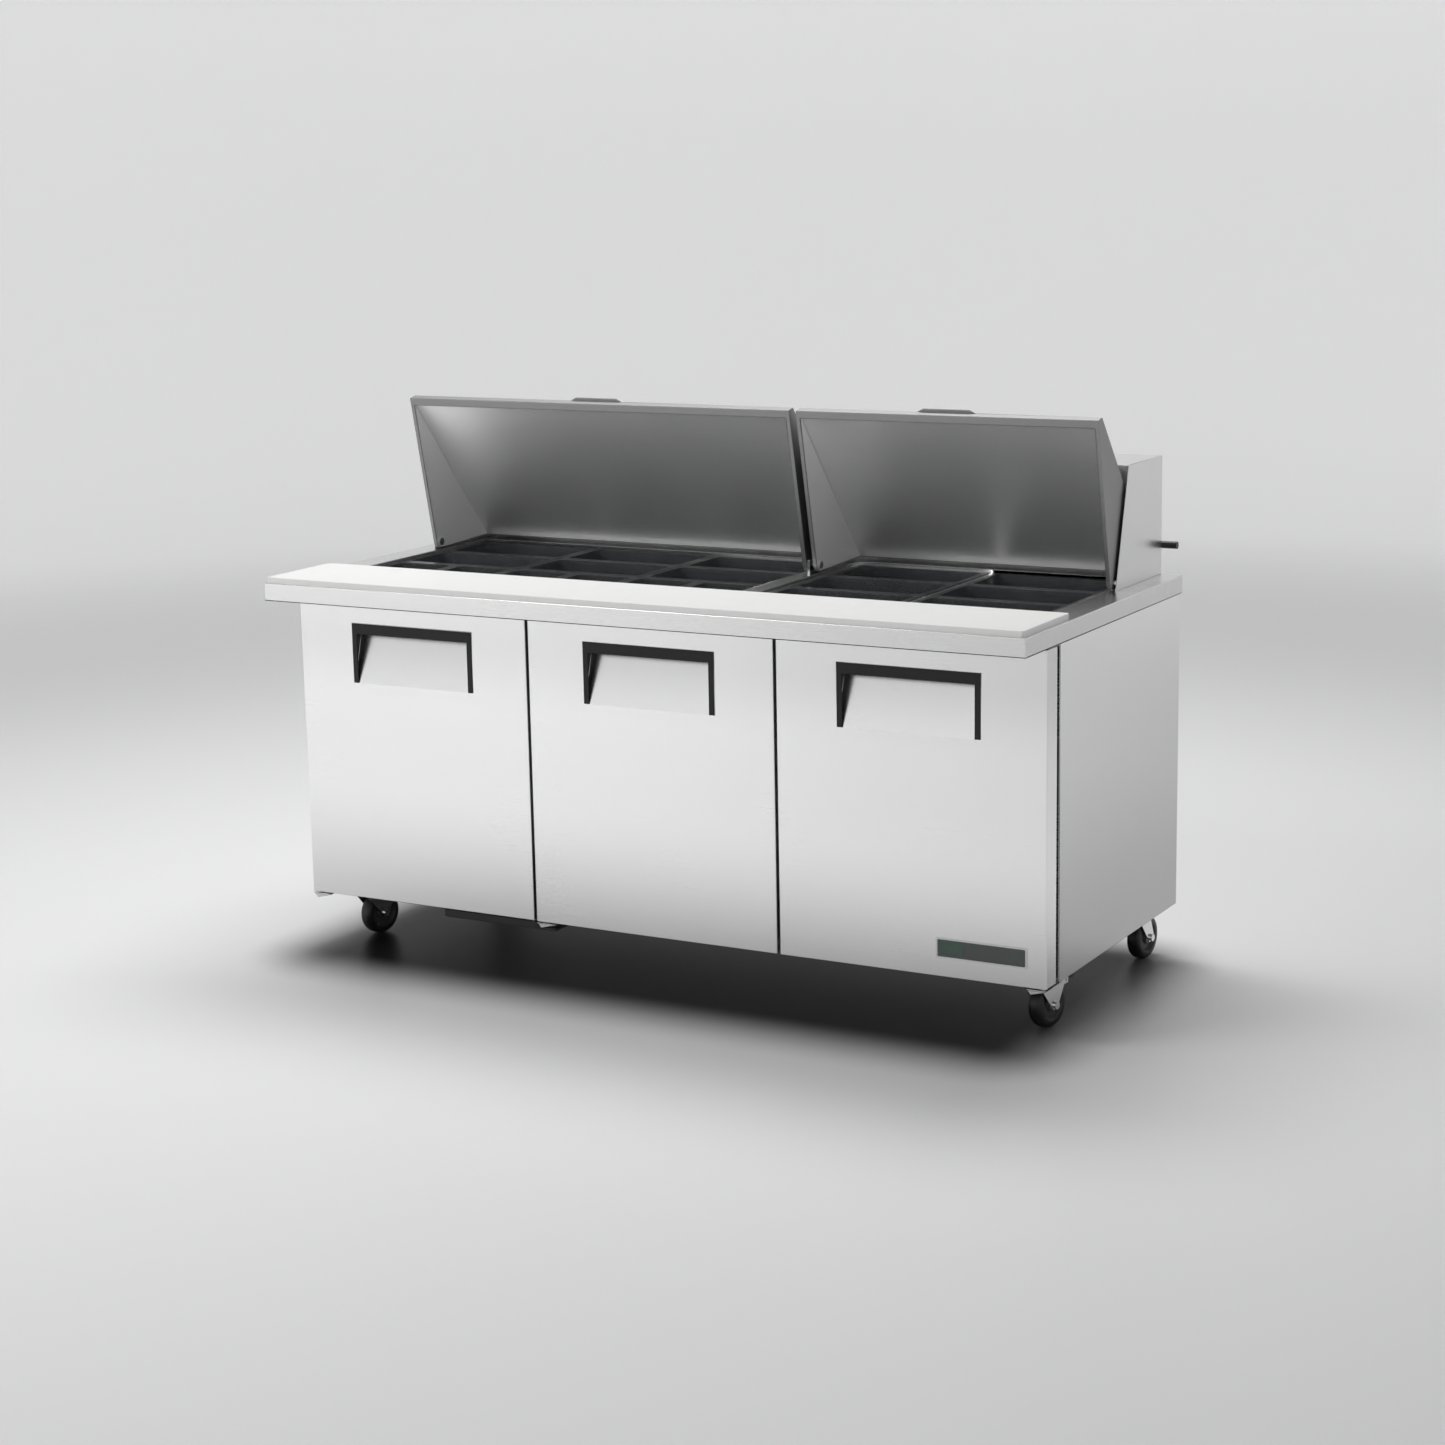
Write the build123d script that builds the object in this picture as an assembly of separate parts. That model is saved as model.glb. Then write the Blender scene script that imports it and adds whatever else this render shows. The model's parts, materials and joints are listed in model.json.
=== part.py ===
import os

from build123d import *

# Sandwich prep table: millimetres, X to the right, Y towards the back, Z up from the floor.
# Every Y below is counted from the front edge of the worktop and shifted at export.

# Worktop
deck_width = 1839.0
deck_depth = 867.0
deck_bottom = 828.0
deck_top = 866.0
sheet = 1.5
board_depth = 233.0
board_thickness = 13.0

# Cabinet
cabinet_width = 1829.0
cabinet_bottom = 125.0
cabinet_front = 186.0
wall = 51.0
frame_depth = 20.0
inner_back = 804.5
inner_floor = 176.5
stile_width = 50.0
mullion_width = 64.0
doorway_z = (170.0, 786.0)
flange_width = 20.0

# Doors
door_front = 120.0
door_depth = 50.0
door_bottom = 128.0
door_top = 822.0
door_gap = 7.0
gasket_inset = 12.0
gasket_width = 14.0
gasket_depth = 15.5
hinge_inset = 13.0
hinge_pin_radius = 4.0
running_clearance = 0.05

# Pull recess in each door: flush at its foot, deepest under the grip bar
pull_width = 322.0
pull_foot = 630.0
pull_top = 766.0
pull_depth = 36.0
grip_height = 24.0
pocket_gap = 2.2
slope_sheet = 1.6

# Pan openings in the worktop
opening_front = 250.0
opening_back = 782.0
left_opening = (-848.0, 129.0)
right_opening = (169.0, 848.0)
left_columns = 6
right_columns = 4
pan_rows = 3
ledge_top = 858.0
ledge_width = 9.0
bar_width = 14.0
collar_foot = 790.0
pan_height = 100.0
sixth_rim = (161.6, 175.6)
third_rim = (323.8, 175.6)
rim_overhang = 10.8

# Lids, drawn closed and stored open
left_lid = (-863.0, 142.0)
right_lid = (158.0, 863.0)
lid_pivot = (600.0, 884.0)
lid_open_angle = 78.0
lid_reach = 362.0
lid_drop = 16.0
lid_lip = 22.0
lid_rear = (56.0, 224.0)
lid_inner_rear = (52.0, 196.0)
lid_cheek = 10.0
lid_pin_radius = 5.0

# Hood behind the lids
hood_half_width = 870.0
hood_top = 1126.0
hood_front_low = 596.0
hood_front_high = 666.0
bumper_radius = 8.0
bumper_centre = (876.0, 929.0)
bumper_half_length = 903.0

# Machine compartment, let into the back of the cabinet
bay_half_width = 256.0
bay_front = 600.0
bay_top = 432.0
bay_wall = 40.0

# Wire shelves
shelf_front = 226.0
shelf_back = 671.0
short_shelf_back = 545.0
shelf_heights = (335.0, 545.0)
shelf_wire = 3.0
shelf_rod = 6.0
post_size = 16.0
clip_width = 12.0
post_top = 745.0

# Evaporator on the back wall of the cold space
evaporator_half = 290.0
evaporator_front = 692.0
evaporator_z = (500.0, 700.0)
evaporator_coil_y = (745.0, 800.0)
evaporator_fins = 27
evaporator_fan_x = (-135.0, 135.0)
evaporator_fan_front = 712.0
evaporator_fan_z = 600.0
evaporator_fan_radius = 58.0
evaporator_fan_mouth = 66.0
thermostat_z = 655.0

# Condensing unit, carried on a tray in the machine compartment
tray_half = 248.0
tray_y = (612.0, 862.0)
compressor_at = (-140.0, 735.0)
compressor_radius = 72.0
condenser_x = (-40.0, 240.0)
condenser_y = (800.0, 845.0)
condenser_top = 410.0
condenser_fins = 13
condenser_fan_at = (100.0, 275.0)
condenser_fan_front = 778.0
condenser_fan_radius = 100.0
motor_y = (700.0, 762.0)
louvre_rows = 12
louvre_pitch = 21.0
gland_at = (-330.0, 160.0)

# Casters
wheel_radius = 50.0
wheel_width = 32.0
caster_trail = 30.0
axle_radius = 5.0
pedal_pin_radius = 3.0
caster_x = 846.0
caster_front = 242.0
caster_rear = 800.0
front_swivel = -12.0
rear_swivel = -6.0

overall_depth = bumper_centre[0] + bumper_radius
half_cabinet = cabinet_width / 2
door_back = door_front + door_depth
door_pitch = cabinet_width / 3
opening_depth = opening_back - opening_front


def block(x, y, z):
    size = Box(x[1] - x[0], y[1] - y[0], z[1] - z[0])
    return Pos((x[0] + x[1]) / 2, (y[0] + y[1]) / 2, (z[0] + z[1]) / 2) * size


def span(centre, size):
    return (centre - size / 2, centre + size / 2)


def side_prism(points, x):
    # A prism along X over an outline of (y, z) points.
    face = Plane.YZ * make_face(Polyline(*points, close=True))
    return Pos(x[0], 0, 0) * extrude(face, x[1] - x[0])


def rod_x(x, y, z, radius):
    return Pos((x[0] + x[1]) / 2, y, z) * Rot(0, 90, 0) * Cylinder(radius, x[1] - x[0])


def rod_y(x, y, z, radius):
    return Pos(x, (y[0] + y[1]) / 2, z) * Rot(90, 0, 0) * Cylinder(radius, y[1] - y[0])


def rod_z(x, y, z, radius):
    return Pos(x, y, (z[0] + z[1]) / 2) * Cylinder(radius, z[1] - z[0])


def fuse(shapes):
    return shapes[0].fuse(*shapes[1:]) if len(shapes) > 1 else shapes[0]


def save(name, shapes):
    # Moves the drafting origin to the middle of the footprint and writes one node.
    shapes = shapes if isinstance(shapes, list) else [shapes]
    solids = [solid for shape in shapes for solid in shape.solids()]
    placed = [Pos(0, -overall_depth / 2, 0) * solid for solid in solids]
    node = placed[0] if len(placed) == 1 else Compound(placed)
    export_step(node, f"parts/{name}.step")


def openings(z, grow=0.0):
    # The two pan cut-outs, as solids to cut with.
    y = (opening_front - grow, opening_back + grow)
    return [block((x[0] - grow, x[1] + grow), y, z) for x in (left_opening, right_opening)]


def make_worktop():
    half = deck_width / 2
    outer = block((-half, half), (0, deck_depth), (deck_bottom, deck_top))
    outer = fillet(outer.edges().filter_by(Axis.Z), 3)
    inside = ((-half + sheet, half - sheet), (sheet, deck_depth - sheet))
    core = block(*inside, (deck_bottom + sheet, deck_top - sheet))
    cuts = openings((deck_bottom - 1, deck_top + 1))
    save("worktop_deck", outer - core - cuts)
    board = block((-half + 7, half - 7), (3, 3 + board_depth), (deck_top, deck_top + board_thickness))
    board = fillet(board.edges().filter_by(Axis.Z), 6)
    save("cutting_board", fillet(board.faces().sort_by(Axis.Z)[-1].edges(), 1.5))
    return core - cuts


def ring_of_strips(x, y, z, width):
    # Four straight strips that butt together round a rectangle.
    inner_y = (y[0] + width, y[1] - width)
    return [
        block(x, (y[0], inner_y[0]), z),
        block(x, (inner_y[1], y[1]), z),
        block((x[0], x[0] + width), inner_y, z),
        block((x[1] - width, x[1]), inner_y, z),
    ]


def make_pan_rail(x, columns):
    # A collar lining the cut-out, its ledge, and the bars that carry the pan rims.
    y = (opening_front, opening_back)
    strips = ring_of_strips(x, y, (collar_foot, deck_top), sheet)
    inner_x = (x[0] + sheet, x[1] - sheet)
    inner_y = (y[0] + sheet, y[1] - sheet)
    bar_z = (ledge_top - 6, ledge_top)
    strips += ring_of_strips(inner_x, inner_y, (ledge_top - 2, ledge_top), ledge_width - sheet)
    mouth_x = (x[0] + ledge_width, x[1] - ledge_width)
    mouth_y = (y[0] + ledge_width, y[1] - ledge_width)
    row_pitch = (inner_y[1] - inner_y[0]) / pan_rows
    column_pitch = (inner_x[1] - inner_x[0]) / columns
    row_edges = [mouth_y[0]]
    for row in range(1, pan_rows):
        bar_y = span(inner_y[0] + row * row_pitch, bar_width)
        strips.append(block(mouth_x, bar_y, bar_z))
        row_edges += [bar_y[0], bar_y[1]]
    row_edges.append(mouth_y[1])
    for row in range(pan_rows):
        single = row == 0 and columns == left_columns
        clear_y = (row_edges[2 * row], row_edges[2 * row + 1])
        for column in range(1 if single else 2, columns, 1 if single else 2):
            bar_x = span(inner_x[0] + column * column_pitch, bar_width)
            strips.append(block(bar_x, clear_y, bar_z))
    return strips


def make_pan(rim):
    # A moulded food pan, hanging by its rim, drawn round the middle of its rim.
    mouth = (rim[0] - 2 * rim_overhang, rim[1] - 2 * rim_overhang)
    skin = 2.5
    body = extrude(RectangleRounded(*mouth, 14), -(pan_height - 2), taper=4.6)
    hollow_top = RectangleRounded(mouth[0] - 2 * skin, mouth[1] - 2 * skin, 12)
    hollow = extrude(hollow_top, -(pan_height - 2 - skin), taper=4.6)
    lip = extrude(RectangleRounded(*rim, 8), 2) - extrude(hollow_top, 2)
    return (body - hollow) + lip


def make_pans():
    sixth = make_pan(sixth_rim)
    third = make_pan(third_rim)
    row_pitch = (opening_depth - 2 * sheet) / pan_rows
    small, large = [], []
    for x, columns in ((left_opening, left_columns), (right_opening, right_columns)):
        column_pitch = (x[1] - x[0] - 2 * sheet) / columns
        for row in range(pan_rows):
            y = opening_front + sheet + (row + 0.5) * row_pitch
            single = row == 0 and columns == left_columns
            step = 1 if single else 2
            for column in range(0, columns, step):
                centre = x[0] + sheet + (column + step / 2) * column_pitch
                placed = Pos(centre, y, ledge_top) * (sixth if single else third)
                (small if single else large).append(placed)
    save("sixth_size_pans", small)
    save("third_size_pans", large)


def make_cabinet(deck_foam):
    y = (cabinet_front, deck_depth - 1)
    low = cabinet_bottom + 2
    top = deck_bottom - 0.5
    inner_half = half_cabinet - sheet
    back_half = inner_half - flange_width
    for side, name in ((-1, "left"), (1, "right")):
        outer = sorted((side * half_cabinet, side * inner_half))
        flange = sorted((side * inner_half, side * back_half))
        panel = block(outer, y, (cabinet_bottom, top))
        panel += block(flange, (y[1] - sheet, y[1]), (cabinet_bottom + 2, top))
        save(f"side_panel_{name}", panel)

    back = block((-back_half, back_half), (y[1] - sheet, y[1]), (low, top))
    back -= block((-bay_half_width, bay_half_width), (y[1] - 5, y[1] + 5), (low - 1, bay_top))
    save("back_panel", back)
    save("base_panel", block((-inner_half, inner_half), y, (cabinet_bottom, low)))

    # Foam walls round the cold space, with the machine compartment let into the back.
    liner_half = half_cabinet - wall - sheet
    foam_y = (cabinet_front + frame_depth, y[1] - sheet)
    cold = block((-liner_half, liner_half), (foam_y[0], inner_back), (inner_floor, top))
    hump_half = bay_half_width + bay_wall
    hump_front = bay_front - bay_wall
    hump_top = bay_top + bay_wall
    cold -= block((-hump_half, hump_half), (hump_front, inner_back), (inner_floor, hump_top))
    shell_half = liner_half + sheet
    shell_z = (inner_floor - sheet, top)
    lining = block((-shell_half, shell_half), (foam_y[0], inner_back + sheet), shell_z)
    step_half = hump_half - sheet
    step_y = (hump_front + sheet, inner_back + sheet)
    lining -= block((-step_half, step_half), step_y, (inner_floor - sheet, hump_top - sheet))
    bay = block((-bay_half_width, bay_half_width), (bay_front, y[1]), (low, bay_top))
    foam = block((-inner_half, inner_half), foam_y, (low, top)) - lining - bay
    save("foam_insulation", [foam, deck_foam])
    save("inner_liner", lining - cold)

    # Door frame with three doorways.
    frame_y = (cabinet_front, cabinet_front + frame_depth)
    frame = block((-inner_half, inner_half), frame_y, (low, top))
    for index in (-1, 0, 1):
        left = index * door_pitch - door_pitch / 2
        right = left + door_pitch
        left += stile_width if index == -1 else mullion_width / 2
        right -= stile_width if index == 1 else mullion_width / 2
        frame -= block((left, right), (frame_y[0] - 1, frame_y[1] + 1), doorway_z)
    save("door_frame", frame)


def shelf(x, back):
    # A rectangle of rod, two cross rods, and wires from front to back on top of them.
    rods = []
    z = (0, shelf_rod)
    for y in (shelf_front, shelf_front + (back - shelf_front) / 2 - 3, back - shelf_rod):
        rods.append(block(x, (y, y + shelf_rod), z))
    for edge in (x[0], x[1] - shelf_rod):
        rods.append(block((edge, edge + shelf_rod), (shelf_front, back), z))
    gaps = round((x[1] - x[0]) / 28)
    pitch = (x[1] - x[0] - shelf_rod) / gaps
    for wire in range(1, gaps):
        centre = x[0] + shelf_rod / 2 + wire * pitch
        wire_z = (shelf_rod - 1, shelf_rod + 2)
        rods.append(block(span(centre, shelf_wire), (shelf_front, back), wire_z))
    return fuse(rods)


def make_shelves():
    inner = half_cabinet - wall - sheet
    mullion = door_pitch / 2
    bays = ((-inner + 4, -mullion - 4), (-mullion + 4, mullion - 4), (mullion + 4, inner - 4))
    shelves, clips, posts = [], [], []
    for x in bays:
        for level, height in enumerate(shelf_heights):
            middle = x[0] < 0 < x[1]
            back = short_shelf_back if level == 0 and middle else shelf_back
            shelves.append(Pos(0, 0, height) * shelf(x, back))
            front = (shelf_front - 4, shelf_front + 10)
            rear = (back - 10, back + 4 if back == shelf_back else bay_front - bay_wall)
            for corner in (x[0], x[1] - clip_width):
                for y in (front, rear):
                    clips.append(block((corner, corner + clip_width), y, (height - 5, height)))
    post_edges = (-inner, -mullion - post_size / 2, mullion - post_size / 2, inner - post_size)
    for x in post_edges:
        for y in (cabinet_front + frame_depth, shelf_back + 4):
            posts.append(block((x, x + post_size), (y, y + post_size), (inner_floor, post_top)))
    save("wire_shelves", shelves)
    save("shelf_clips", clips)
    save("shelf_posts", posts)


def make_evaporator():
    x, y, z = (-evaporator_half, evaporator_half), (evaporator_front, inner_back), evaporator_z
    hollow = ((x[0] + sheet, x[1] - sheet), (y[0] + sheet, y[1]), (z[0] + sheet, z[1] - sheet))
    case = block(x, y, z) - block(*hollow)
    for fan in evaporator_fan_x:
        case -= rod_y(fan, (y[0] - 5, y[0] + 5), evaporator_fan_z, evaporator_fan_mouth)
    save("evaporator_case", case)
    coil_y = evaporator_coil_y
    coil = block((x[0] + 20, x[1] - 20), coil_y, (z[0] + 12, z[1] - 12))
    for fin in range(evaporator_fins):
        left = x[0] + 28 + fin * 20
        coil -= block((left, left + 8), (coil_y[0] - 5, coil_y[0] + 15), (z[0] + 16, z[1] - 16))
    save("evaporator_coil", coil)
    for fan, name in zip(evaporator_fan_x, ("left", "right")):
        turning = make_fan(fan, evaporator_fan_front, evaporator_fan_z, evaporator_fan_radius, 16)
        save(f"evaporator_fan_{name}", turning)
    knob = rod_y(0, (y[0] - 14, y[0] - 0.5), thermostat_z, 15)
    knob += block((-2, 2), (y[0] - 18, y[0] - 1), (thermostat_z - 10, thermostat_z + 14))
    save("thermostat_knob", knob)


def make_compressor(low):
    x, y = compressor_at
    can = rod_z(x, y, (low + 24, low + 150), compressor_radius)
    parts = [fillet(can.edges().filter_by(GeomType.CIRCLE), 24)]
    for dx in (-48, 48):
        for dy in (-48, 48):
            parts.append(rod_z(x + dx, y + dy, (low + 2, low + 30), 9))
    for dx in (-28, 30):
        parts.append(rod_z(x + dx, y, (low + 140, low + 190), 5))
    save("compressor", fuse(parts))


def make_condenser(low):
    x, y = condenser_x, condenser_y
    fan_x, fan_z = condenser_fan_at
    coil = block(x, y, (low + 4, condenser_top))
    coil -= rod_y(fan_x, (y[0] - 5, y[0] + 12), fan_z, condenser_fan_radius + 12)
    for fin in range(condenser_fins):
        left = x[0] + 8 + fin * 21
        coil -= block((left, left + 9), (y[1] - 15, y[1] + 1), (low + 12, condenser_top - 8))
    save("condenser_coil", coil)
    fan = make_fan(fan_x, condenser_fan_front, fan_z, condenser_fan_radius, 18)
    save("condenser_fan", fan)
    motor = rod_y(fan_x, motor_y, fan_z, 32)
    motor += block(span(fan_x, 24), (motor_y[0], motor_y[1] - 2), (low + 2, fan_z - 15))
    save("fan_motor", motor)


def make_machine_bay():
    # The condensing unit on its tray, and the louvred cover and cord gland behind it.
    low = cabinet_bottom + 2
    tray = block((-tray_half, tray_half), tray_y, (low, low + 14))
    tray -= block((-tray_half + 3, tray_half - 3), (tray_y[0] + 3, tray_y[1] - 3), (low + 2, low + 15))
    save("machine_tray", tray)
    make_compressor(low)
    make_condenser(low)

    cover_y = (deck_depth - 1, deck_depth + 1)
    cover_half = bay_half_width + 12
    cover = block((-cover_half, cover_half), cover_y, (low + 1, bay_top + 12))
    for louvre in range(louvre_rows):
        z = 160 + louvre * louvre_pitch
        for x in (-232, 12):
            cover -= block((x, x + 220), (cover_y[0] - 1, cover_y[1] + 1), (z, z + 9))
    save("rear_grille", cover)
    x, z = gland_at
    gland = rod_y(x, (cover_y[0], cover_y[0] + 14), z, 11)
    gland += rod_y(x, (cover_y[0], cover_y[0] + 5), z, 16)
    save("cord_gland", gland - rod_y(x, (cover_y[0] - 3, cover_y[0] + 15), z, 5))


def make_fan(x, y, z, radius, depth):
    # Hub and four pitched blades, turning about an axis along Y.
    hub = Cylinder(radius * 0.28, depth)
    blades = []
    for blade in range(4):
        paddle = Box(radius * 0.72, radius * 0.55, 2)
        placed = Pos(radius * 0.62, 0, 0) * Rot(25, 0, 0) * paddle
        blades.append(Rot(0, 0, 90 * blade) * placed)
    fan = fuse([hub] + blades) & Cylinder(radius, depth)
    return Pos(x, y + depth / 2, z) * Rot(90, 0, 0) * fan


def hinge_x(index):
    # Doors one and two hang on their left edges, door three on its right edge.
    left = index * door_pitch - door_pitch / 2 + (door_gap / 2 if index > -1 else 0)
    right = left + door_pitch - door_gap / 2 - (door_gap / 2 if index == 0 else 0)
    return (left, right, right - hinge_inset if index == 1 else left + hinge_inset)


def pull_line(z):
    return door_front + (z - pull_foot) * pull_depth / (pull_top - 2 - pull_foot)


def make_door(index, name):
    left, right, pivot = hinge_x(index)
    middle = index * door_pitch
    x_pull = span(middle, pull_width)
    x_panel = span(middle, pull_width - 6)
    pivot_y = door_front + hinge_inset
    inner_x, inner_y = (left + sheet, right - sheet), (door_front + sheet, door_back)
    inner = (inner_x, inner_y, (door_bottom + sheet, door_top - sheet))
    skin = block((left, right), (door_front, door_back - 2), (door_bottom, door_top))
    skin = fillet(skin.edges().filter_by(Axis.Z).sort_by(Axis.Y)[:2], 2)
    skin -= block(*inner)
    core = block(*inner)
    for z in ((door_bottom - 1, door_bottom + 20), (door_top - 20, door_top + 1)):
        bore = rod_z(pivot, pivot_y, z, hinge_pin_radius + running_clearance)
        skin -= bore
        core -= bore
    skin -= block(x_pull, (door_front - 1, door_front + 3), (pull_foot, pull_top))
    foot_y, top_y = pull_line(pull_foot), pull_line(pull_top - 2)
    slope = [(foot_y, pull_foot), (top_y, pull_top - 2)]
    slope += [(top_y + slope_sheet, pull_top - 2), (foot_y + slope_sheet, pull_foot)]
    skin += side_prism(slope, x_panel)
    pocket_foot = pull_foot - pocket_gap * (pull_top - 2 - pull_foot) / pull_depth
    pocket_back = pull_line(pull_top) + pocket_gap
    pocket = [(door_front, pocket_foot), (pocket_back, pull_top), (door_front, pull_top)]
    core -= side_prism(pocket, x_pull)
    save(f"{name}_door_skin", skin)
    save(f"{name}_door_core", core)

    # Grip: proud frame of bar and legs, triangular cheeks and a ceiling over the fingers.
    pieces = [block(x_pull, (door_front - 2, door_front + 12), (pull_top - grip_height, pull_top))]
    cheek = [(door_front, pull_foot), (top_y + slope_sheet, pull_top - 2), (door_front, pull_top - 2)]
    for side in (-1, 1):
        outer = middle + side * pull_width / 2
        pieces.append(side_prism(cheek, sorted((outer, outer - side * 3))))
        leg = sorted((outer, outer - side * 13))
        pieces.append(block(leg, (door_front - 2, door_front), (pull_foot, pull_top)))
    pieces.append(block(x_pull, (door_front, top_y + 2), (pull_top - 2, pull_top)))
    save(f"{name}_door_handle", fuse(pieces))

    ring_x = (left + gasket_inset, right - gasket_inset)
    ring_z = (door_bottom + gasket_inset, door_top - gasket_inset)
    y = (door_back, door_back + gasket_depth)
    gasket = block(ring_x, y, ring_z)
    hole_x = (ring_x[0] + gasket_width, ring_x[1] - gasket_width)
    gasket -= block(hole_x, (y[0] - 1, y[1] + 1), (ring_z[0] + gasket_width, ring_z[1] - gasket_width))
    save(f"{name}_door_gasket", gasket)


def make_door_hinges():
    brackets = []
    pivot_y = door_front + hinge_inset
    for index in (-1, 0, 1):
        pivot = hinge_x(index)[2]
        side = 1 if index == 1 else -1
        x = sorted((pivot + side * hinge_inset, pivot - side * 32))
        plate = block(x, (door_front + 2, cabinet_front), (door_top + 1.5, deck_bottom - 0.5))
        pin = rod_z(pivot, pivot_y, (door_top - 16, door_top + 2), hinge_pin_radius)
        brackets.append(plate + pin)
        foot_y = (door_front + 2, cabinet_front + 12)
        foot = block(x, foot_y, (cabinet_bottom - 3.5, cabinet_bottom - 0.5))
        foot += block(x, (cabinet_front, cabinet_front + 12), (cabinet_bottom - 1, cabinet_bottom))
        foot += rod_z(pivot, pivot_y, (cabinet_bottom - 1, door_bottom + 16), hinge_pin_radius)
        lug = [(x[0], cabinet_bottom - 3.5), (x[1], cabinet_bottom - 3.5), (x[0] + 8, cabinet_bottom - 13)]
        gusset = extrude(Plane.XZ * make_face(Polyline(*lug, close=True)), -5)
        brackets.append(foot + Pos(0, door_front + 4, 0) * gusset)
    save("door_hinges", brackets)

    rail = block((-560, -262), (136, cabinet_front), (cabinet_bottom - 21, cabinet_bottom - 3.5))
    rail += block((-556, -326), (170, cabinet_front + 14), (cabinet_bottom - 6, cabinet_bottom))
    notch = block((-310, -200), (100, 220), (cabinet_bottom - 13.5, cabinet_bottom + 1))
    save("hinge_support_rail", rail - notch)

    right = hinge_x(1)[1]
    plate = block((right - 244, right - 42), (door_front - 1.5, door_front), (166, 210))
    save("badge_plate", fillet(plate.edges().filter_by(Axis.Y), 3))


def lid_outline(shrink):
    # Side view of a closed lid from its pivot, each wall moved in by shrink.
    front = [(-lid_reach, -lid_drop), (-lid_reach, lid_lip - lid_drop)]
    heel = [(16, 0), (11.3, -11.3), (0, -lid_drop)]
    face = make_face(Polyline(*front, lid_rear, *heel, close=True))
    return offset(face, -shrink, kind=Kind.INTERSECTION) if shrink else face


def lid_place(shape):
    # Swings a closed lid back to its open rest and sets it on its pivot.
    return Pos(0, *lid_pivot) * Rot(-lid_open_angle, 0, 0) * shape


def make_lid(x, name):
    outer = Pos(x[0], 0, 0) * extrude(Plane.YZ * lid_outline(0), x[1] - x[0])
    inset = Pos(x[0] + sheet, 0, 0) * extrude(Plane.YZ * lid_outline(sheet), x[1] - x[0] - 2 * sheet)
    lip_back = -lid_reach + 18
    mouth = [(lip_back, -40), (lip_back, -9), lid_inner_rear, (120, lid_inner_rear[1]), (120, -40)]
    hollow = side_prism(mouth, (x[0] + lid_cheek, x[1] - lid_cheek))
    bore_radius = lid_pin_radius + running_clearance
    bores = [rod_x((x[0] - 1, x[0] + lid_cheek + 1), 0, 0, bore_radius)]
    bores.append(rod_x((x[1] - lid_cheek - 1, x[1] + 1), 0, 0, bore_radius))
    middle = (x[0] + x[1]) / 2
    root_y, tip_y = -lid_reach + 1, -lid_reach - 8
    tab = make_face(Polyline((middle - 70, root_y), (middle - 54, tip_y), (middle + 54, tip_y),
                             (middle + 70, root_y), close=True))
    pull = Pos(0, 0, lid_lip - lid_drop - 4) * extrude(tab, 3)
    shell = outer - inset - hollow - bores + pull
    save(f"{name}_lid_shell", lid_place(shell))
    save(f"{name}_lid_liner", lid_place(inset - hollow - bores))


def make_hood():
    # Fixed hood on the back of the worktop: two raked cheeks, a roof and a back.
    half = hood_half_width
    cheek = [(hood_front_low, deck_top), (hood_front_high, hood_top)]
    cheek += [(deck_depth, hood_top), (deck_depth, deck_top)]
    walls = [side_prism(cheek, (-half, -half + sheet)), side_prism(cheek, (half - sheet, half))]
    walls.append(block((-half, half), (hood_front_high, deck_depth), (hood_top - sheet, hood_top)))
    walls.append(block((-half, half), (deck_depth - sheet, deck_depth), (deck_top, hood_top)))
    save("rear_hood", fuse(walls))
    y, z = bumper_centre
    bar = rod_x((-bumper_half_length, bumper_half_length), y, z, bumper_radius)
    bar -= block((-910, 910), (y - 12, deck_depth), (z - 12, z + 12))
    stay_y = (deck_depth, deck_depth + 3)
    stays = [block(span(x, 30), stay_y, span(z, 60)) for x in (-760, 0, 760)]
    save("rear_bumper_bar", fuse([bar] + stays))

    # Pivot pins of the lids: one on each hood cheek and one in a stand between the lids.
    py, pz = lid_pivot
    pins = []
    for side in (-1, 1):
        stem = sorted((side * (half - sheet), side * (left_lid[0] * -1 - lid_cheek - 0.5)))
        head = sorted((side * (-left_lid[0] - lid_cheek - 0.5), side * (-left_lid[0] - lid_cheek - 3.5)))
        pins.append(rod_x(stem, py, pz, lid_pin_radius) + rod_x(head, py, pz, 9))
    gap = (left_lid[1] + 1, right_lid[0] - 1)
    stand = block((gap[0] + 4, gap[1] - 4), (py - 22, py + 22), (deck_top, pz + 12))
    stand += rod_x((left_lid[1] - lid_cheek - 0.5, right_lid[0] + lid_cheek + 0.5), py, pz, lid_pin_radius)
    for edge in (left_lid[1] - lid_cheek - 3.5, right_lid[0] + lid_cheek + 0.5):
        stand += rod_x((edge, edge + 3), py, pz, 9)
    save("lid_hinges", pins + [stand])


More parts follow.
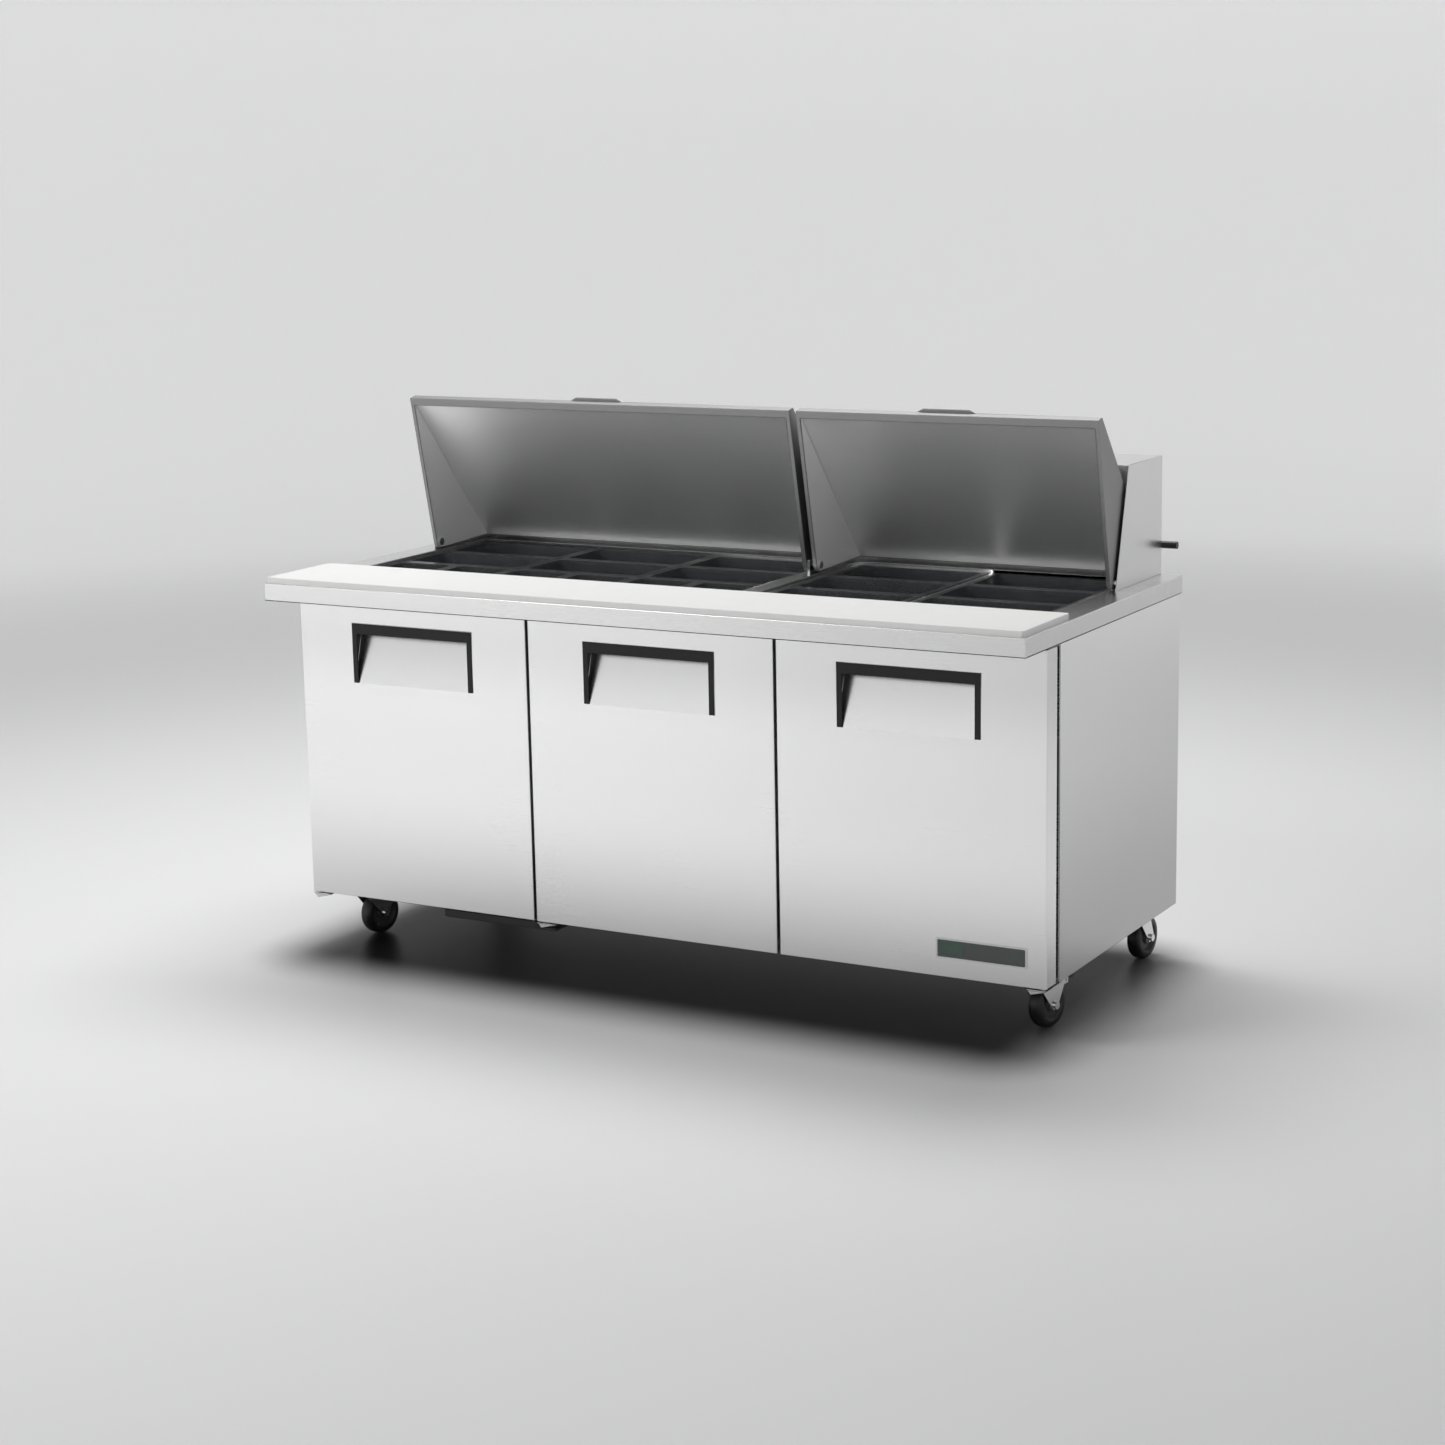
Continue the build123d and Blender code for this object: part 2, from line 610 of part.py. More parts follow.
def make_caster(x, y, swivel, name, braked):
    def place(shape):
        return Pos(x, y, 0) * Rot(0, 0, swivel) * shape

    axle_y, axle_z = caster_trail, wheel_radius
    pedal_y, pedal_z = axle_y + 40, axle_z + 44
    brow = [(26, 108), (pedal_y + 6, 101), (pedal_y + 6, pedal_z - 6), (pedal_y - 8, pedal_z - 6)]
    outline = [(-24, 108)] + (brow if braked else [(26, 108), (26, 100)])
    outline += [(axle_y + 14, axle_z + 4), (axle_y + 8, axle_z - 9)]
    outline += [(axle_y - 8, axle_z - 9), (-24, 98)]
    parts = [block((-22, 22), (-24, 26), (104, 108)), rod_z(0, 0, (108, 119), 24)]
    parts += [side_prism(outline, x) for x in ((-22, -19), (19, 22))]
    fork = fuse(parts) - rod_x((-30, 30), axle_y, axle_z, axle_radius)
    axle = rod_x((-25, 25), axle_y, axle_z, axle_radius)
    axle += rod_x((22, 27), axle_y, axle_z, 8) + rod_x((-27, -22), axle_y, axle_z, 8)
    if braked:
        fork += rod_x((-24, 24), pedal_y, pedal_z, pedal_pin_radius)
    save(f"{name}_caster_fork", [place(fork), place(axle)])

    wheel = rod_x((-wheel_width / 2, wheel_width / 2), axle_y, axle_z, wheel_radius)
    wheel = fillet(wheel.edges().filter_by(GeomType.CIRCLE), 5)
    for side in (-1, 1):
        dish = sorted((side * wheel_width / 2, side * (wheel_width / 2 - 5)))
        wheel -= rod_x(dish, axle_y, axle_z, 34)
        wheel += rod_x(dish, axle_y, axle_z, 14)
    wheel -= rod_x((-20, 20), axle_y, axle_z, axle_radius + running_clearance)
    save(f"{name}_caster_wheel", place(wheel))
    if braked:
        pedal = rod_x((-17, 17), pedal_y, pedal_z, 5.5)
        pedal += block((-17, 17), (pedal_y + 2, pedal_y + 34), (pedal_z - 1, pedal_z + 4))
        pedal -= rod_x((-20, 20), pedal_y, pedal_z, pedal_pin_radius + running_clearance)
        save(f"{name}_caster_brake", place(pedal))


def make_casters():
    places = {
        "front_left": (-caster_x, caster_front, front_swivel, True),
        "front_right": (caster_x, caster_front, front_swivel, True),
        "rear_left": (-caster_x, caster_rear, rear_swivel, False),
        "rear_right": (caster_x, caster_rear, rear_swivel, False),
    }
    plates = []
    for name, (x, y, swivel, braked) in places.items():
        make_caster(x, y, swivel, name, braked)
        plate = block(span(x, 100), span(y, 84), (cabinet_bottom - 4, cabinet_bottom))
        plate += rod_z(x, y, (119.3, cabinet_bottom - 4), 26)
        for dx in (-39, 39):
            for dy in (-31, 31):
                plate += rod_z(x + dx, y + dy, (cabinet_bottom - 8, cabinet_bottom - 4), 7)
        plates.append(plate)
    save("caster_plates", plates)


def make_all():
    os.makedirs("parts", exist_ok=True)
    deck_foam = make_worktop()
    left_rail = make_pan_rail(left_opening, left_columns)
    save("pan_rails", left_rail + make_pan_rail(right_opening, right_columns))
    make_pans()
    make_cabinet(deck_foam)
    make_shelves()
    make_evaporator()
    make_machine_bay()
    for index, name in ((-1, "left"), (0, "centre"), (1, "right")):
        make_door(index, name)
    make_door_hinges()
    make_lid(left_lid, "left")
    make_lid(right_lid, "right")
    make_hood()
    make_casters()


make_all()
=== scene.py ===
import bpy
import bmesh
import json
import math
from mathutils import Matrix, Vector

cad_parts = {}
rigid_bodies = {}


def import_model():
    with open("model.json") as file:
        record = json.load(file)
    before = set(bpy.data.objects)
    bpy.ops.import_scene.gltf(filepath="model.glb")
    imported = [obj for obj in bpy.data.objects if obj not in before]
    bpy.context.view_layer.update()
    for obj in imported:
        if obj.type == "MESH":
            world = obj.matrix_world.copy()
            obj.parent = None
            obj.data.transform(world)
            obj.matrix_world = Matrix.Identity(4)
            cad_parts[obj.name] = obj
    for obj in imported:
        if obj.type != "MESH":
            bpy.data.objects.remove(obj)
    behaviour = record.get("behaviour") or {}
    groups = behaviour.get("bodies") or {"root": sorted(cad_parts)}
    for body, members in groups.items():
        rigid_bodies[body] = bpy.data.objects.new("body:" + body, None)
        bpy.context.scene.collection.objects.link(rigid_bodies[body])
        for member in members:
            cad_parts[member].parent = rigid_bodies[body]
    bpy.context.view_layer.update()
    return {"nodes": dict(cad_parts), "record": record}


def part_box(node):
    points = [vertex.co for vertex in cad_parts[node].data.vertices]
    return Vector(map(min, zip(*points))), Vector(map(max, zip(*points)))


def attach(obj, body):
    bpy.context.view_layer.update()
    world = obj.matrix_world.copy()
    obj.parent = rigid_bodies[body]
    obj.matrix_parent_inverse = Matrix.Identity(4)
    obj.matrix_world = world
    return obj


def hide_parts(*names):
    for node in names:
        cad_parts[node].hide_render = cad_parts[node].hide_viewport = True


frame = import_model()
doorNames = ["left", "centre", "right"]
lidNames = ["left", "right"]
cornerNames = ["front_left", "front_right", "rear_left", "rear_right"]


class Wire:
    # one socket of a node tree; sums on it become Math nodes
    def __init__(self, tree, socket=None):
        self.tree, self.socket = tree, socket

    def node(self, kind, settings=None, inputs=None, out=0):
        made = self.tree.nodes.new(kind)
        for key, value in (settings or {}).items():
            if key == "stops":
                for stop in value[2:]:
                    made.color_ramp.elements.new(stop[0])
                for element, stop in zip(made.color_ramp.elements, value):
                    element.position, element.color = stop[0], (*stop[1], 1)
            else:
                setattr(made, key, value)
        for key, value in (inputs or {}).items():
            for part in value if isinstance(value, list) else [value]:
                if isinstance(part, Wire):
                    self.tree.links.new(part.socket, made.inputs[key])
                else:
                    made.inputs[key].default_value = part
        return Wire(self.tree, made.outputs[out] if made.outputs else None)

    def sum(self, operation, first, second):
        return self.node("ShaderNodeMath", {"operation": operation}, {0: first, 1: second})

    def __add__(self, other): return self.sum("ADD", self, other)
    def __radd__(self, other): return self.sum("ADD", other, self)
    def __sub__(self, other): return self.sum("SUBTRACT", self, other)
    def __rsub__(self, other): return self.sum("SUBTRACT", other, self)
    def __mul__(self, other): return self.sum("MULTIPLY", self, other)
    def __rmul__(self, other): return self.sum("MULTIPLY", other, self)
    def __truediv__(self, other): return self.sum("DIVIDE", self, other)


def between(amount, first, second):
    # a colour part of the way from one to the other
    return amount.node("ShaderNodeMix", {"data_type": "RGBA"}, {0: amount, 6: first, 7: second}, 2)


def grey(level):
    return (level, level, level, 1)


def newFinish(name):
    material = bpy.data.materials.new(name)
    material.use_nodes = True
    material.node_tree.nodes.clear()
    return material, Wire(material.node_tree)


def noise(start, scale, detail=3.0, stretch=(1, 1, 1)):
    place = start.node("ShaderNodeTexCoord", {}, {}, "Object")
    place = start.node("ShaderNodeMapping", {}, {"Vector": place, "Scale": stretch})
    return start.node("ShaderNodeTexNoise", {}, {"Vector": place, "Scale": scale, "Detail": detail})


def bump(start, height, distance, strength=1.0):
    return start.node("ShaderNodeBump", {}, {"Height": height, "Distance": distance, "Strength": strength})


def finish(start, shaderInputs):
    shader = start.node("ShaderNodeBsdfPrincipled", {}, shaderInputs)
    start.node("ShaderNodeOutputMaterial", {}, {"Surface": shader})


# the last three heights bound the painted shade near the floor and under the worktop
steelLook = {"light": (0.89, 0.89, 0.885, 1), "dark": (0.84, 0.84, 0.84, 1), "roughness": 0.27, "streak": 0.05,
             "smudge": 0.05, "fineScale": 1100, "alongGrain": 0.005, "wobble": 0.0010, "grain": 0.000005,
             "splashLow": 0.10, "edgeLow": 0.58, "edgeHigh": 0.76}


def brushedSteel(name, grainAxis, shade=1.0, roughness=steelLook["roughness"], floorShadeLevel=1.0, floorShadeTop=0.46,
                 overhangShadeLevel=1.0, metal=1.0):
    # painted shade: the colour is darkened towards the floor and, when asked for, just under the worktop;
    # the two brightness factors for these set how bright the metal stays there
    material, start = newFinish(name)
    stretch = tuple(steelLook["alongGrain"] if axis == grainAxis else 1 for axis in range(3))
    fine = noise(start, steelLook["fineScale"], 4.0, stretch)
    coarse = noise(start, steelLook["fineScale"] / 4, 2.0, stretch)
    smudge = noise(start, 5.0, 5.0)
    wobble = noise(start, 2.2, 1.0)
    light = tuple(c * shade for c in steelLook["light"][:3]) + (1,)
    dark = tuple(c * shade for c in steelLook["dark"][:3]) + (1,)
    streaks = fine * 0.85 + coarse * 0.15
    place = start.node("ShaderNodeTexCoord", {}, {}, "Object")
    height = start.node("ShaderNodeSeparateXYZ", {}, {"Vector": place}, "Z")
    # painted shade: darker towards the floor, and darker just under the worktop
    floorShadeMask = start.node("ShaderNodeMapRange", {"clamp": True, "interpolation_type": "SMOOTHSTEP"},
                       {0: height, 1: steelLook["splashLow"], 2: floorShadeTop, 3: 0.0, 4: 1.0})
    below = start.node("ShaderNodeMapRange", {"clamp": True, "interpolation_type": "SMOOTHSTEP"},
                       {0: height, 1: steelLook["edgeLow"], 2: steelLook["edgeHigh"], 3: 1.0, 4: overhangShadeLevel})
    floorShadedColour = tuple(c * floorShadeLevel for c in light[:3]) + (1,)
    relief = streaks * steelLook["grain"] + wobble * steelLook["wobble"]
    finish(start, {
        "Base Color": between(below, (0, 0, 0, 1), between(floorShadeMask, floorShadedColour, between(streaks, dark, light))),
        "Metallic": metal,
        "Roughness": roughness + (streaks - 0.5) * steelLook["streak"] + (smudge - 0.5) * steelLook["smudge"],
        "Normal": bump(start, relief, 1.0),
    })
    return material


def galvanised(name):
    # zinc spangle: irregular crystals of slightly different grey
    material, start = newFinish(name)
    place = start.node("ShaderNodeTexCoord", {}, {}, "Object")
    crystals = start.node("ShaderNodeTexVoronoi", {}, {"Vector": place, "Scale": 90.0}, "Color")
    cell = start.node("ShaderNodeSeparateColor", {}, {"Color": crystals})
    cloud = noise(start, 7.0, 4.0)
    finish(start, {
        "Base Color": between(cell * 0.7 + cloud * 0.3, grey(0.42), grey(0.66)),
        "Metallic": 1.0,
        "Roughness": 0.34 + cell * 0.16,
        "Normal": bump(start, cell * 0.00004 + cloud * 0.0004, 1.0),
    })
    return material


def moulded(name, colour, roughness, pores, depth, lighter=1.25):
    # plastic, rubber or paint with a fine skin texture and slight dust
    material, start = newFinish(name)
    skin = noise(start, pores, 2.0)
    dust = noise(start, 9.0, 5.0)
    worn = tuple(min(1.0, c * lighter) for c in colour) + (1,)
    finish(start, {
        "Base Color": between(dust, (*colour, 1), worn),
        "Roughness": roughness + (dust - 0.5) * 0.16,
        "Specular IOR Level": 0.35,
        "Normal": bump(start, skin, depth),
    })
    return material


def plated(name, shade, roughness, tint=(1, 1, 1)):
    material, start = newFinish(name)
    cloud = noise(start, 60.0, 4.0)
    stain = noise(start, 14.0, 3.0)
    bright = tuple(c * shade for c in tint) + (1,)
    dull = tuple(c * shade * 0.86 for c in tint) + (1,)
    finish(start, {
        "Base Color": between(stain, dull, bright),
        "Metallic": 1.0,
        "Roughness": roughness + (cloud - 0.4) * 0.16,
        "Normal": bump(start, cloud, 0.00012),
    })
    return material


def boardPlastic(name):
    # matt polyethylene with a rolled face and fine crossing knife marks
    material, start = newFinish(name)
    place = start.node("ShaderNodeTexCoord", {}, {}, "Object")
    cuts = []
    for turn, length in ((0.35, 7), (1.35, 9), (2.2, 8)):
        turned = start.node("ShaderNodeMapping", {},
                            {"Vector": place, "Rotation": (0, 0, turn), "Scale": (260, length, 1)})
        line = start.node("ShaderNodeTexNoise", {}, {"Vector": turned, "Scale": 1.0, "Detail": 1.0})
        cuts.append(start.node("ShaderNodeMapRange", {"clamp": True},
                               {0: line, 1: 0.70, 2: 0.74, 3: 0.0, 4: 1.0}))
    marks = cuts[0] + cuts[1] + cuts[2]
    use = noise(start, 4.0, 3.0)
    pebble = noise(start, 900.0, 1.0)
    finish(start, {
        "Base Color": between(marks * 0.3 + use * 0.3, (0.80, 0.80, 0.79, 1), (0.64, 0.64, 0.63, 1)),
        "Roughness": 0.42 + use * 0.14,
        "Normal": bump(start, pebble * 0.00005 - marks * 0.00012, 1.0),
        "Specular IOR Level": 0.3,
    })
    return material


def panPlastic(name):
    # see-through moulded food-pan plastic, smoky and tinted darker as painted shade in the pan wells, with fine
    # wear scuffs
    material, start = newFinish(name)
    scuff = noise(start, 160.0, 4.0, (1, 1, 0.15))
    cloud = noise(start, 18.0, 3.0)
    finish(start, {
        "Base Color": between(cloud, (0.07, 0.075, 0.08, 1), (0.13, 0.135, 0.14, 1)),
        "Roughness": 0.12 + scuff * 0.14,
        "Alpha": 0.52 + scuff * 0.12,
        "Normal": bump(start, scuff, 0.0001),
    })
    return material


steelAlongX = brushedSteel("brushed_steel_along_x", 0)
# painted shade: the door steel darkens towards the floor and just under the worktop
steelDoor = brushedSteel("door_steel", 0, 1.08, 0.26, 0.70, 0.40, 0.86)
steelDeck = brushedSteel("worktop_steel", 0, 0.86, 0.27)
# painted shade: the side panel steel darkens all the way down towards the floor
steelAlongY = brushedSteel("side_panel_steel", 1, 1.10, 0.24, 0.48, 0.86)
steelLining = brushedSteel("lid_lining_steel", 0, 1.10, 0.50, metal=0.88)
# painted light: the lining's side faces get a copy of its steel with less metal, so they read lighter
steelCheekLit = brushedSteel("lid_cheek_steel", 2, 1.11, 0.50, metal=0.5)
# painted shade: the lid shell steel is darkened far below the other steel to hold down the top lamp's reflection
steelLidShaded = brushedSteel("lid_shell_steel", 0, 0.38, 0.52)
steelHood = brushedSteel("hood_steel", 0, 0.86, 0.30)
zincSheet = galvanised("galvanised_sheet_spangle")
linerSheet = plated("aluminium_liner_sheet", 0.78, 0.36)
doorLining = plated("door_lining_sheet", 0.80, 0.33)
handlePlastic = moulded("handle_plastic", (0.005, 0.005, 0.0055), 0.44, 1400.0, 0.00010, 1.9)
# black rubber for the door seals, also used for the painted shadow line under the worktop
sealRubberAndShadowLine = moulded("gasket_rubber_soft", (0.006, 0.006, 0.0065), 0.60, 500.0, 0.0001, 2.0)
boardWhite = boardPlastic("cutting_board_plastic")
panClear = panPlastic("food_pan_plastic")
wireCoat = moulded("shelf_wire_coating", (0.72, 0.72, 0.70), 0.35, 300.0, 0.0001, 1.08)
chromePlate = plated("caster_chrome", 0.80, 0.16)
zincPlate = plated("screw_zinc", 0.66, 0.28)
finAluminium = plated("coil_fin_aluminium", 0.74, 0.30)
powderCoat = moulded("black_powder_coat", (0.014, 0.014, 0.014), 0.38, 420.0, 0.00035, 2.2)
plateDark = moulded("badge_face", (0.060, 0.068, 0.064), 0.30, 900.0, 0.00004, 1.5)
plateGreen = moulded("badge_window", (0.050, 0.085, 0.066), 0.22, 700.0, 0.00003, 1.4)
tyreRubber = moulded("tyre_rubber", (0.010, 0.010, 0.011), 0.36, 260.0, 0.0002, 1.8)
hubPlastic = moulded("wheel_core_plastic", (0.035, 0.035, 0.037), 0.40, 500.0, 0.00012, 1.6)
foamYellow = moulded("wall_foam", (0.62, 0.52, 0.30), 0.85, 160.0, 0.0016, 1.2)
copperPipe = plated("copper_pipe", 0.9, 0.3, (0.95, 0.55, 0.38))
slotDark = moulded("slot_shadow", (0.012, 0.012, 0.012), 0.8, 300.0, 0.0001, 1.5)
print("materials ready")


def addPiece(name, mesh, body, replaced=()):
    piece = bpy.data.objects.new(name, mesh)
    bpy.context.scene.collection.objects.link(piece)
    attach(piece, body)
    if replaced:
        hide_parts(*replaced)
    return piece


def evaluatedMesh(thing):
    bpy.context.view_layer.update()
    graph = bpy.context.evaluated_depsgraph_get()
    return bpy.data.meshes.new_from_object(thing.evaluated_get(graph), depsgraph=graph)


def bodyOf(node):
    return frame["nodes"][node].parent.name.replace("body:", "")


def softEdged(node, finishOf, width=0.0012, steps=2, shortest=0.006, cheekFinish=None):
    # the CAD shape with its long sharp edges rounded
    shape = bmesh.new()
    shape.from_mesh(frame["nodes"][node].data)
    bmesh.ops.remove_doubles(shape, verts=shape.verts, dist=2e-6)
    bmesh.ops.dissolve_limit(shape, angle_limit=math.radians(0.6), verts=shape.verts, edges=shape.edges)
    weight = shape.edges.layers.float.new("bevel_weight_edge")
    for edge in shape.edges:
        angle = edge.calc_face_angle(0) if len(edge.link_faces) == 2 else 0
        if angle > math.radians(28) and edge.calc_length() > shortest:
            edge[weight] = 1.0
        edge.smooth = angle < math.radians(13)
    mesh = bpy.data.meshes.new(node + "_soft")
    shape.to_mesh(mesh)
    shape.free()
    for face in mesh.polygons:
        face.use_smooth = True
    mesh.materials.clear()
    mesh.materials.append(finishOf)
    # a second finish for faces looking along X; on the lid linings it is the painted lit copy
    if cheekFinish:
        mesh.materials.append(cheekFinish)
        for face in mesh.polygons:
            face.material_index = 1 if abs(face.normal.x) > 0.9 else 0
    holder = bpy.data.objects.new(node + "_holder", mesh)
    bpy.context.scene.collection.objects.link(holder)
    rounding = holder.modifiers.new("rounding", "BEVEL")
    rounding.limit_method = "WEIGHT"
    rounding.width = width
    rounding.segments = steps
    rounding.use_clamp_overlap = False
    evening = holder.modifiers.new("evening", "WEIGHTED_NORMAL")
    evening.keep_sharp = True
    evening.weight = 90
    made = evaluatedMesh(holder)
    bpy.data.objects.remove(holder)
    return addPiece(node + "_formed", made, bodyOf(node), [node])


def dress(node, finishOf):
    for place in frame["nodes"][node].material_slots:
        place.material = finishOf


def islands(node):
    # lowest and highest corner of each separate solid of a node
    shape = bmesh.new()
    shape.from_mesh(frame["nodes"][node].data)
    bmesh.ops.remove_doubles(shape, verts=shape.verts, dist=2e-6)
    seen, boxes = set(), []
    for first in shape.verts:
        if first in seen:
            continue
        seen.add(first)
        stack, low, high = [first], first.co.copy(), first.co.copy()
        while stack:
            vert = stack.pop()
            low = Vector(map(min, low, vert.co))
            high = Vector(map(max, high, vert.co))
            for edge in vert.link_edges:
                other = edge.other_vert(vert)
                if other not in seen:
                    seen.add(other)
                    stack.append(other)
        boxes.append((low, high))
    shape.free()
    return boxes


def newTree(name, sizes):
    tree = bpy.data.node_groups.new(name, "GeometryNodeTree")
    tree.interface.new_socket("Geometry", in_out="INPUT", socket_type="NodeSocketGeometry")
    for label, kind in sizes.items():
        tree.interface.new_socket(label, in_out="INPUT", socket_type="NodeSocket" + kind)
    tree.interface.new_socket("Finish", in_out="INPUT", socket_type="NodeSocketMaterial")
    tree.interface.new_socket("Geometry", in_out="OUTPUT", socket_type="NodeSocketGeometry")
    entry = tree.nodes.new("NodeGroupInput")
    plugs = {socket.name: Wire(tree, socket) for socket in entry.outputs if socket.name}
    return Wire(tree), plugs


def endTree(start, plugs, geometry, smooth=True):
    if smooth:
        geometry = start.node("GeometryNodeSetShadeSmooth", {}, {"Geometry": geometry})
    geometry = start.node("GeometryNodeRealizeInstances", {}, {"Geometry": geometry})
    geometry = start.node("GeometryNodeSetMaterial", {}, {"Geometry": geometry, "Material": plugs["Finish"]})
    start.node("NodeGroupOutput", {}, {"Geometry": geometry})
    return start.tree


def grow(name, tree, values, body, points=(), replaced=()):
    # runs a tree on a set of points and keeps the result as a plain mesh
    seed = bpy.data.meshes.new(name + "_seed")
    seed.from_pydata([tuple(p) for p in points], [], [])
    holder = bpy.data.objects.new(name + "_holder", seed)
    bpy.context.scene.collection.objects.link(holder)
    modifier = holder.modifiers.new("grow", "NODES")
    modifier.node_group = tree
    for item in tree.interface.items_tree:
        if item.item_type == "SOCKET" and item.in_out == "INPUT" and item.name in values:
            modifier[item.identifier] = values[item.name]
    mesh = evaluatedMesh(holder)
    bpy.data.objects.remove(holder)
    return addPiece(name, mesh, body, replaced)


def vector(start, x=0.0, y=0.0, z=0.0):
    return start.node("ShaderNodeCombineXYZ", {}, {"X": x, "Y": y, "Z": z})


def swept(start, path, radius, sides=8):
    ring = start.node("GeometryNodeCurvePrimitiveCircle", {"mode": "RADIUS"},
                      {"Resolution": sides, "Radius": radius})
    return start.node("GeometryNodeCurveToMesh", {}, {"Curve": path, "Profile Curve": ring, "Fill Caps": True})


def corners(start, plugs):
    low = [start.node("ShaderNodeSeparateXYZ", {}, {"Vector": plugs["Low"]}, axis) for axis in "XYZ"]
    high = [start.node("ShaderNodeSeparateXYZ", {}, {"Vector": plugs["High"]}, axis) for axis in "XYZ"]
    return low, high


def joined(start, parts):
    return start.node("GeometryNodeJoinGeometry", {}, {"Geometry": parts})


def row(start, first, last, spacing):
    return start.node("GeometryNodeMeshLine", {"mode": "END_POINTS", "count_mode": "RESOLUTION"},
                      {"Start Location": first, "Offset": last, "Resolution": spacing})


def repeated(start, points, thing, **more):
    inputs = {"Points": points, "Instance": thing}
    inputs.update(more)
    return start.node("GeometryNodeInstanceOnPoints", {}, inputs)


def buildShelfTree():
    start, plugs = newTree("wire_shelf", {
        "Low": "Vector", "High": "Vector", "Pitch": "Float", "Wire": "Float", "Rail": "Float"})
    low, high = corners(start, plugs)
    top = high[2] - plugs["Wire"]
    under = high[2] - plugs["Wire"] * 3.4
    inset = plugs["Rail"]
    long = vector(start, 0.0, high[1] - low[1] - inset * 2, 0.0)
    long = start.node("GeometryNodeCurvePrimitiveLine", {}, {"End": long})
    first = vector(start, low[0] + plugs["Pitch"], low[1] + inset, top)
    last = vector(start, high[0] - plugs["Pitch"] * 0.5, low[1] + inset, top)
    wires = repeated(start, row(start, first, last, plugs["Pitch"]), long)
    wide = vector(start, high[0] - low[0] - inset * 2, 0.0, 0.0)
    wide = start.node("GeometryNodeCurvePrimitiveLine", {}, {"End": wide})
    near = vector(start, low[0] + inset, low[1] + 0.10, under)
    far = vector(start, low[0] + inset, high[1] - 0.06, under)
    ribs = repeated(start, row(start, near, far, 0.14), wide)
    edge = start.node("GeometryNodeCurvePrimitiveQuadrilateral", {"mode": "RECTANGLE"},
                      {"Width": high[0] - low[0] - inset * 2, "Height": high[1] - low[1] - inset * 2})
    edge = start.node("GeometryNodeFilletCurve", {"mode": "POLY"}, {"Curve": edge, "Radius": 0.014, "Count": 4})
    middle = vector(start, (low[0] + high[0]) * 0.5, (low[1] + high[1]) * 0.5, high[2] - plugs["Rail"])
    edge = start.node("GeometryNodeTransform", {}, {"Geometry": edge, "Translation": middle})
    parts = [swept(start, wires, plugs["Wire"], 6), swept(start, ribs, plugs["Wire"] * 1.4, 6),
             swept(start, edge, plugs["Rail"], 8)]
    return endTree(start, plugs, joined(start, parts))


def buildScrewTree():
    # heads on each point: washer, sided head and a shallow crown
    start, plugs = newTree("fixing_heads", {
        "Radius": "Float", "Height": "Float", "Sides": "Int", "Turn": "Vector"})
    washer = start.node("GeometryNodeMeshCylinder", {}, {"Vertices": 14, "Radius": 1.3, "Depth": 0.16}, "Mesh")
    head = start.node("GeometryNodeMeshCylinder", {}, {"Vertices": plugs["Sides"], "Radius": 1.0, "Depth": 0.7},
                      "Mesh")
    head = start.node("GeometryNodeTransform", {}, {"Geometry": head, "Translation": (0, 0, 0.4)})
    crown = start.node("GeometryNodeMeshCone", {}, {
        "Vertices": plugs["Sides"], "Radius Top": 0.5, "Radius Bottom": 0.96, "Depth": 0.22}, "Mesh")
    crown = start.node("GeometryNodeTransform", {}, {"Geometry": crown, "Translation": (0, 0, 0.75)})
    fixing = joined(start, [washer, head, crown])
    size = vector(start, plugs["Radius"], plugs["Radius"], plugs["Height"])
    fixing = start.node("GeometryNodeTransform", {}, {"Geometry": fixing, "Scale": size})
    heads = repeated(start, plugs["Geometry"], fixing, Rotation=plugs["Turn"])
    return endTree(start, plugs, heads, False)


def buildPlateRowTree():
    # thin plates side by side: fins along X, or slats up Z
    start, plugs = newTree("plate_row", {
        "First": "Vector", "Last": "Vector", "Spacing": "Float", "Size": "Vector", "Turn": "Vector"})
    plate = start.node("GeometryNodeMeshCube", {}, {"Size": plugs["Size"]}, "Mesh")
    line = row(start, plugs["First"], plugs["Last"], plugs["Spacing"])
    plates = repeated(start, line, plate, Rotation=plugs["Turn"])
    return endTree(start, plugs, plates, False)


def buildGuardTree():
    # rings and spokes of a fan guard facing along Y
    start, plugs = newTree("fan_guard", {
        "Centre": "Vector", "Radius": "Float", "Rings": "Int", "Spokes": "Int", "Wire": "Float"})
    number = start.node("GeometryNodeInputIndex")
    seeds = start.node("GeometryNodeMeshLine", {"mode": "OFFSET"}, {"Count": plugs["Rings"], "Offset": (0, 0, 0)})
    size = (number + 1) / plugs["Rings"] * plugs["Radius"]
    ring = start.node("GeometryNodeCurvePrimitiveCircle", {"mode": "RADIUS"}, {"Resolution": 40, "Radius": 1.0})
    rings = repeated(start, seeds, ring, Scale=vector(start, size, size, size))
    stems = start.node("GeometryNodeMeshLine", {"mode": "OFFSET"}, {"Count": plugs["Spokes"], "Offset": (0, 0, 0)})
    spoke = start.node("GeometryNodeCurvePrimitiveLine", {}, {"End": vector(start, plugs["Radius"], 0.0, 0.0)})
    turn = vector(start, 0.0, 0.0, number * (2 * math.pi) / plugs["Spokes"])
    spokes = repeated(start, stems, spoke, Rotation=turn)
    flat = start.node("GeometryNodeRealizeInstances", {}, {"Geometry": joined(start, [rings, spokes])})
    body = swept(start, flat, plugs["Wire"], 6)
    body = start.node("GeometryNodeTransform", {}, {
        "Geometry": body, "Translation": plugs["Centre"], "Rotation": (math.pi / 2, 0, 0)})
    return endTree(start, plugs, body)


